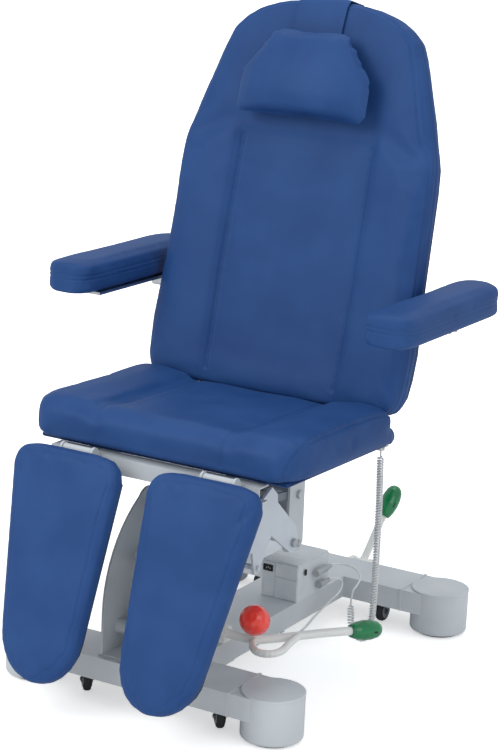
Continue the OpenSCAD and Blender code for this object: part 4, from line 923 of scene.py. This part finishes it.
def flattened_ball(name, size_mm, place, axes, material, body):
    """A small rounded inlay: a ball pressed to three half sizes and laid along three axes."""
    bm = bmesh.new()
    bmesh.ops.create_uvsphere(bm, u_segments=24, v_segments=12, radius=1)
    bmesh.ops.scale(bm, vec=Vector(size_mm) * MM, verts=bm.verts)
    set_along(bm, place, axes)
    piece_from_bmesh(name, bm, material, body, 60)


HUB_NYLON = moulded_plastic("grey_nylon_hub", "#7C8186", "#8A8F94", 0.45)
# (radius, height over the tyre's side) from the middle out: the axle's head, the dished web and the rim.
HUB_FACE = [(0.01, 0.9), (3.2, 0.9), (3.6, 0.5), (11.5, 0.3), (12.5, 1.1), (16.2, 1.1), (17, 0.2),
            (17, -0.5)]
TYRE_HALF_WIDTH = 9


def make_castor_hubs():
    """The grey hub faces of the castors, a hair proud of their tyres, with the axle's head in the middle."""
    for joint in frame["record"]["behaviour"]["joints"]:
        if not joint["name"].endswith("_roll"):
            continue
        corner = joint["name"][len("castor_"):-len("_roll")]
        centre, axis = Vector(joint["pos_m"]), Vector(joint["axis"]).normalized()
        half = TYRE_HALF_WIDTH * MM
        for way, word in ((1, "in"), (-1, "out")):
            turned("castor_hub_%s_%s" % (corner, word), HUB_FACE, centre + axis * way * half, axis * way,
                   HUB_NYLON, "castor_wheel_" + corner)


KNOB_LENGTH = 80
# From the knob's axis out to its side, half the slot's height and half its depth.
KNOB_SIDE, SLOT_HALF_HEIGHT, SLOT_HALF_DEPTH = 21.3, 2.4, 1.3


def make_knob_slot_shades():
    """Painted shade for the moulded drain slot in each green knob's side: a black inlay on the knob stands in
    for the shade inside the slot.
    """
    # Each: name, body, the knob's neck and tip, the slot's share of the way along, its side, half its length.
    knobs = [("rear_green_knob", "rear_pedal", (65, 541.7, 192), (76, 586.7, 259),
              0.42, (0.8, -0.55, -0.1), 7.5)]
    for side, word in ((1, "right"), (-1, "left")):
        knobs.append(("front_green_knob_" + word, "front_pedal",
                      (side * 281, -13.3, 121), (side * 317, 57.7, 112),
                      0.66, (side * 0.55, -0.8, 0.1), 5.5))
    for name, body, neck, tip, share, outward, half_length in knobs:
        along = (mm(*tip) - mm(*neck)).normalized()
        out = Vector(outward)
        out = (out - along * out.dot(along)).normalized()
        place = mm(*neck) + along * KNOB_LENGTH * share * MM + out * KNOB_SIDE * MM
        # Painted shade: the black inlay lies on the knob's face where the slot's dark inside shows.
        flattened_ball(name + "_slot", (half_length, SLOT_HALF_HEIGHT, SLOT_HALF_DEPTH), place,
                       (along, out.cross(along), out), BLACK_NYLON, body)


TINY = 0.1 * MM


def moulding(name, blocks, place, axes, material, body):
    """Moulded blocks with round corners, each: middle (2), halves (2), corner, height, depth of its well."""
    bm = bmesh.new()
    for middle_a, middle_b, half_a, half_b, corner, height, well in blocks:
        block = bmesh.ops.create_cube(bm, size=2)["verts"]
        bmesh.ops.scale(bm, vec=mm(half_a, half_b, height / 2), verts=block)
        bmesh.ops.translate(bm, vec=mm(middle_a, middle_b, height / 2), verts=block)
        edges = list(dict.fromkeys(e for v in block for e in v.link_edges))
        upright = [e for e in edges if abs(e.verts[0].co.z - e.verts[1].co.z) > TINY]
        bmesh.ops.bevel(bm, geom=upright, offset=corner * MM, offset_type="OFFSET", segments=4, profile=0.5,
                        affect="EDGES", material=-1)
        bm.faces.ensure_lookup_table()
        top = mm(middle_a, middle_b, height)
        lid = [f for f in bm.faces if (f.calc_center_median() - top).length < TINY]
        # With a well: a chamfer, a flat rim and the sunk floor; without: only the chamfer.
        for thickness, depth in ((0.3, 0.3), (0.6, 0), (0.3, -well)) if well else ((0.2, 0.2),):
            bmesh.ops.inset_region(bm, faces=lid, thickness=thickness * MM, depth=depth * MM)
    set_along(bm, place, axes)
    piece_from_bmesh(name, bm, material, body, 30)


# The control box's front wall faces -Y, its right wall +X: a fitting's own two axes, then the way out.
FRONT_WALL = (Vector((1, 0, 0)), Vector((0, 0, 1)), Vector((0, -1, 0)))
RIGHT_WALL = (Vector((0, 1, 0)), Vector((0, 0, 1)), Vector((1, 0, 0)))
INLET = [(0, 0, 12, 7.5, 1.5, 1.6, 1.7)]
INLET_PINS = [(a, b, 0.9, 2.0, 0.4, 1.4, 0) for a, b in ((-4.5, -0.8), (0, 1.2), (4.5, -0.8))]
SOCKET = [(0, 0, 4, 7, 1.6, 1.4, 1.5)]


def make_box_details():
    """The mains inlet with its pins in the control box's front, and the free socket beside the plugs."""
    moulding("mains_inlet", INLET, mm(0, 114.7, 168), FRONT_WALL, BLACK_NYLON, "base")
    moulding("mains_inlet_pins", INLET_PINS, mm(0, 114.6, 168), FRONT_WALL, ZINC, "base")
    moulding("spare_socket", SOCKET, mm(77.9, 146, 164), RIGHT_WALL, BLACK_NYLON, "base")


make_castor_hubs()
make_knob_slot_shades()
make_box_details()


# ---------------------------------------------------------------- stage and light
# Metres: half the floor's side, and from where to where its own glow rises, so that it fades into white.
FLOOR_HALF = 30
GLOW_FROM, GLOW_TO = 0.7, 2.4
# How strong that glow is near and far, and the world's soft fill.
GLOW_NEAR, GLOW_FAR = 0.5, 1.0
FILL_STRENGTH = 0.78


def make_stage():
    """A pale seamless floor that reads as white paper."""
    bm = bmesh.new()
    bmesh.ops.create_grid(bm, x_segments=1, y_segments=1, size=FLOOR_HALF)
    mesh = bpy.data.meshes.new("paper_floor")
    bm.to_mesh(mesh)
    bm.free()
    floor = bpy.data.objects.new("paper_floor", mesh)
    bpy.context.collection.objects.link(floor)
    material, tree, shader, place = new_material("white_paper_floor")
    shader.inputs["Base Color"].default_value = linear("#F4F4F3")
    shader.inputs["Roughness"].default_value = 0.9
    path = add_node(tree, "ShaderNodeLightPath")
    reach = add_node(tree, "ShaderNodeVectorMath", [(place, 0)], operation="LENGTH")
    glow = add_node(tree, "ShaderNodeMapRange", [(reach.outputs["Value"], "Value")])
    glow.inputs["From Min"].default_value, glow.inputs["From Max"].default_value = GLOW_FROM, GLOW_TO
    glow.inputs["To Min"].default_value, glow.inputs["To Max"].default_value = GLOW_NEAR, GLOW_FAR
    paper = add_node(tree, "ShaderNodeEmission", [(glow.outputs["Result"], "Strength")])
    plain = shader.outputs["BSDF"]
    lit = add_node(tree, "ShaderNodeAddShader", [(paper.outputs["Emission"], 0), (plain, 1)])
    seen = add_node(tree, "ShaderNodeMixShader", [
        (path.outputs["Is Camera Ray"], "Fac"), (plain, 1), (lit.outputs["Shader"], 2)])
    tree.links.new(seen.outputs["Shader"], tree.nodes["Material Output"].inputs["Surface"])
    mesh.materials.append(material)


def make_world():
    """An even pale studio: the camera sees white, and the chair gets a slightly cooler soft fill."""
    world = bpy.data.worlds.new("studio")
    bpy.context.scene.world = world
    world.use_nodes = True
    tree = world.node_tree
    tree.nodes.clear()
    path = add_node(tree, "ShaderNodeLightPath")
    fill = add_node(tree, "ShaderNodeBackground")
    fill.inputs["Color"].default_value = linear("#F2F5FA")
    fill.inputs["Strength"].default_value = FILL_STRENGTH
    seen = add_node(tree, "ShaderNodeBackground")
    seen.inputs["Color"].default_value = (1, 1, 1, 1)
    seen.inputs["Strength"].default_value = 1.0
    mix = add_node(tree, "ShaderNodeMixShader", [
        (path.outputs["Is Camera Ray"], "Fac"), (fill.outputs["Background"], 1),
        (seen.outputs["Background"], 2)])
    add_node(tree, "ShaderNodeOutputWorld", [(mix.outputs["Shader"], "Surface")])


# Softboxes: name, place, what it is aimed at, width and height, all in metres, and its power in watts.
SOFTBOXES = [
    ("key_softbox", (-1.2, -3.4, 3.0), (0, 0, 0.7), (2.2, 2.2), 60),
    ("side_softbox", (3.4, -1.4, 2.2), (0, 0, 0.7), (1.6, 2.4), 17),
    ("top_softbox", (0.2, 0.6, 3.8), (0, 0, 0.8), (2.4, 2.0), 22),
]


def soft_lamp(name, place, aim, size, power):
    """One rectangular softbox turned towards its aim."""
    lamp = bpy.data.lights.new(name, "AREA")
    lamp.shape = "RECTANGLE"
    lamp.size, lamp.size_y = size
    lamp.energy = power
    holder = bpy.data.objects.new(name, lamp)
    holder.location = place
    holder.rotation_euler = (Vector(aim) - Vector(place)).to_track_quat("-Z", "Y").to_euler()
    bpy.context.collection.objects.link(holder)


make_stage()
make_world()
for softbox in SOFTBOXES:
    soft_lamp(*softbox)
bpy.context.scene.view_settings.view_transform = "Standard"
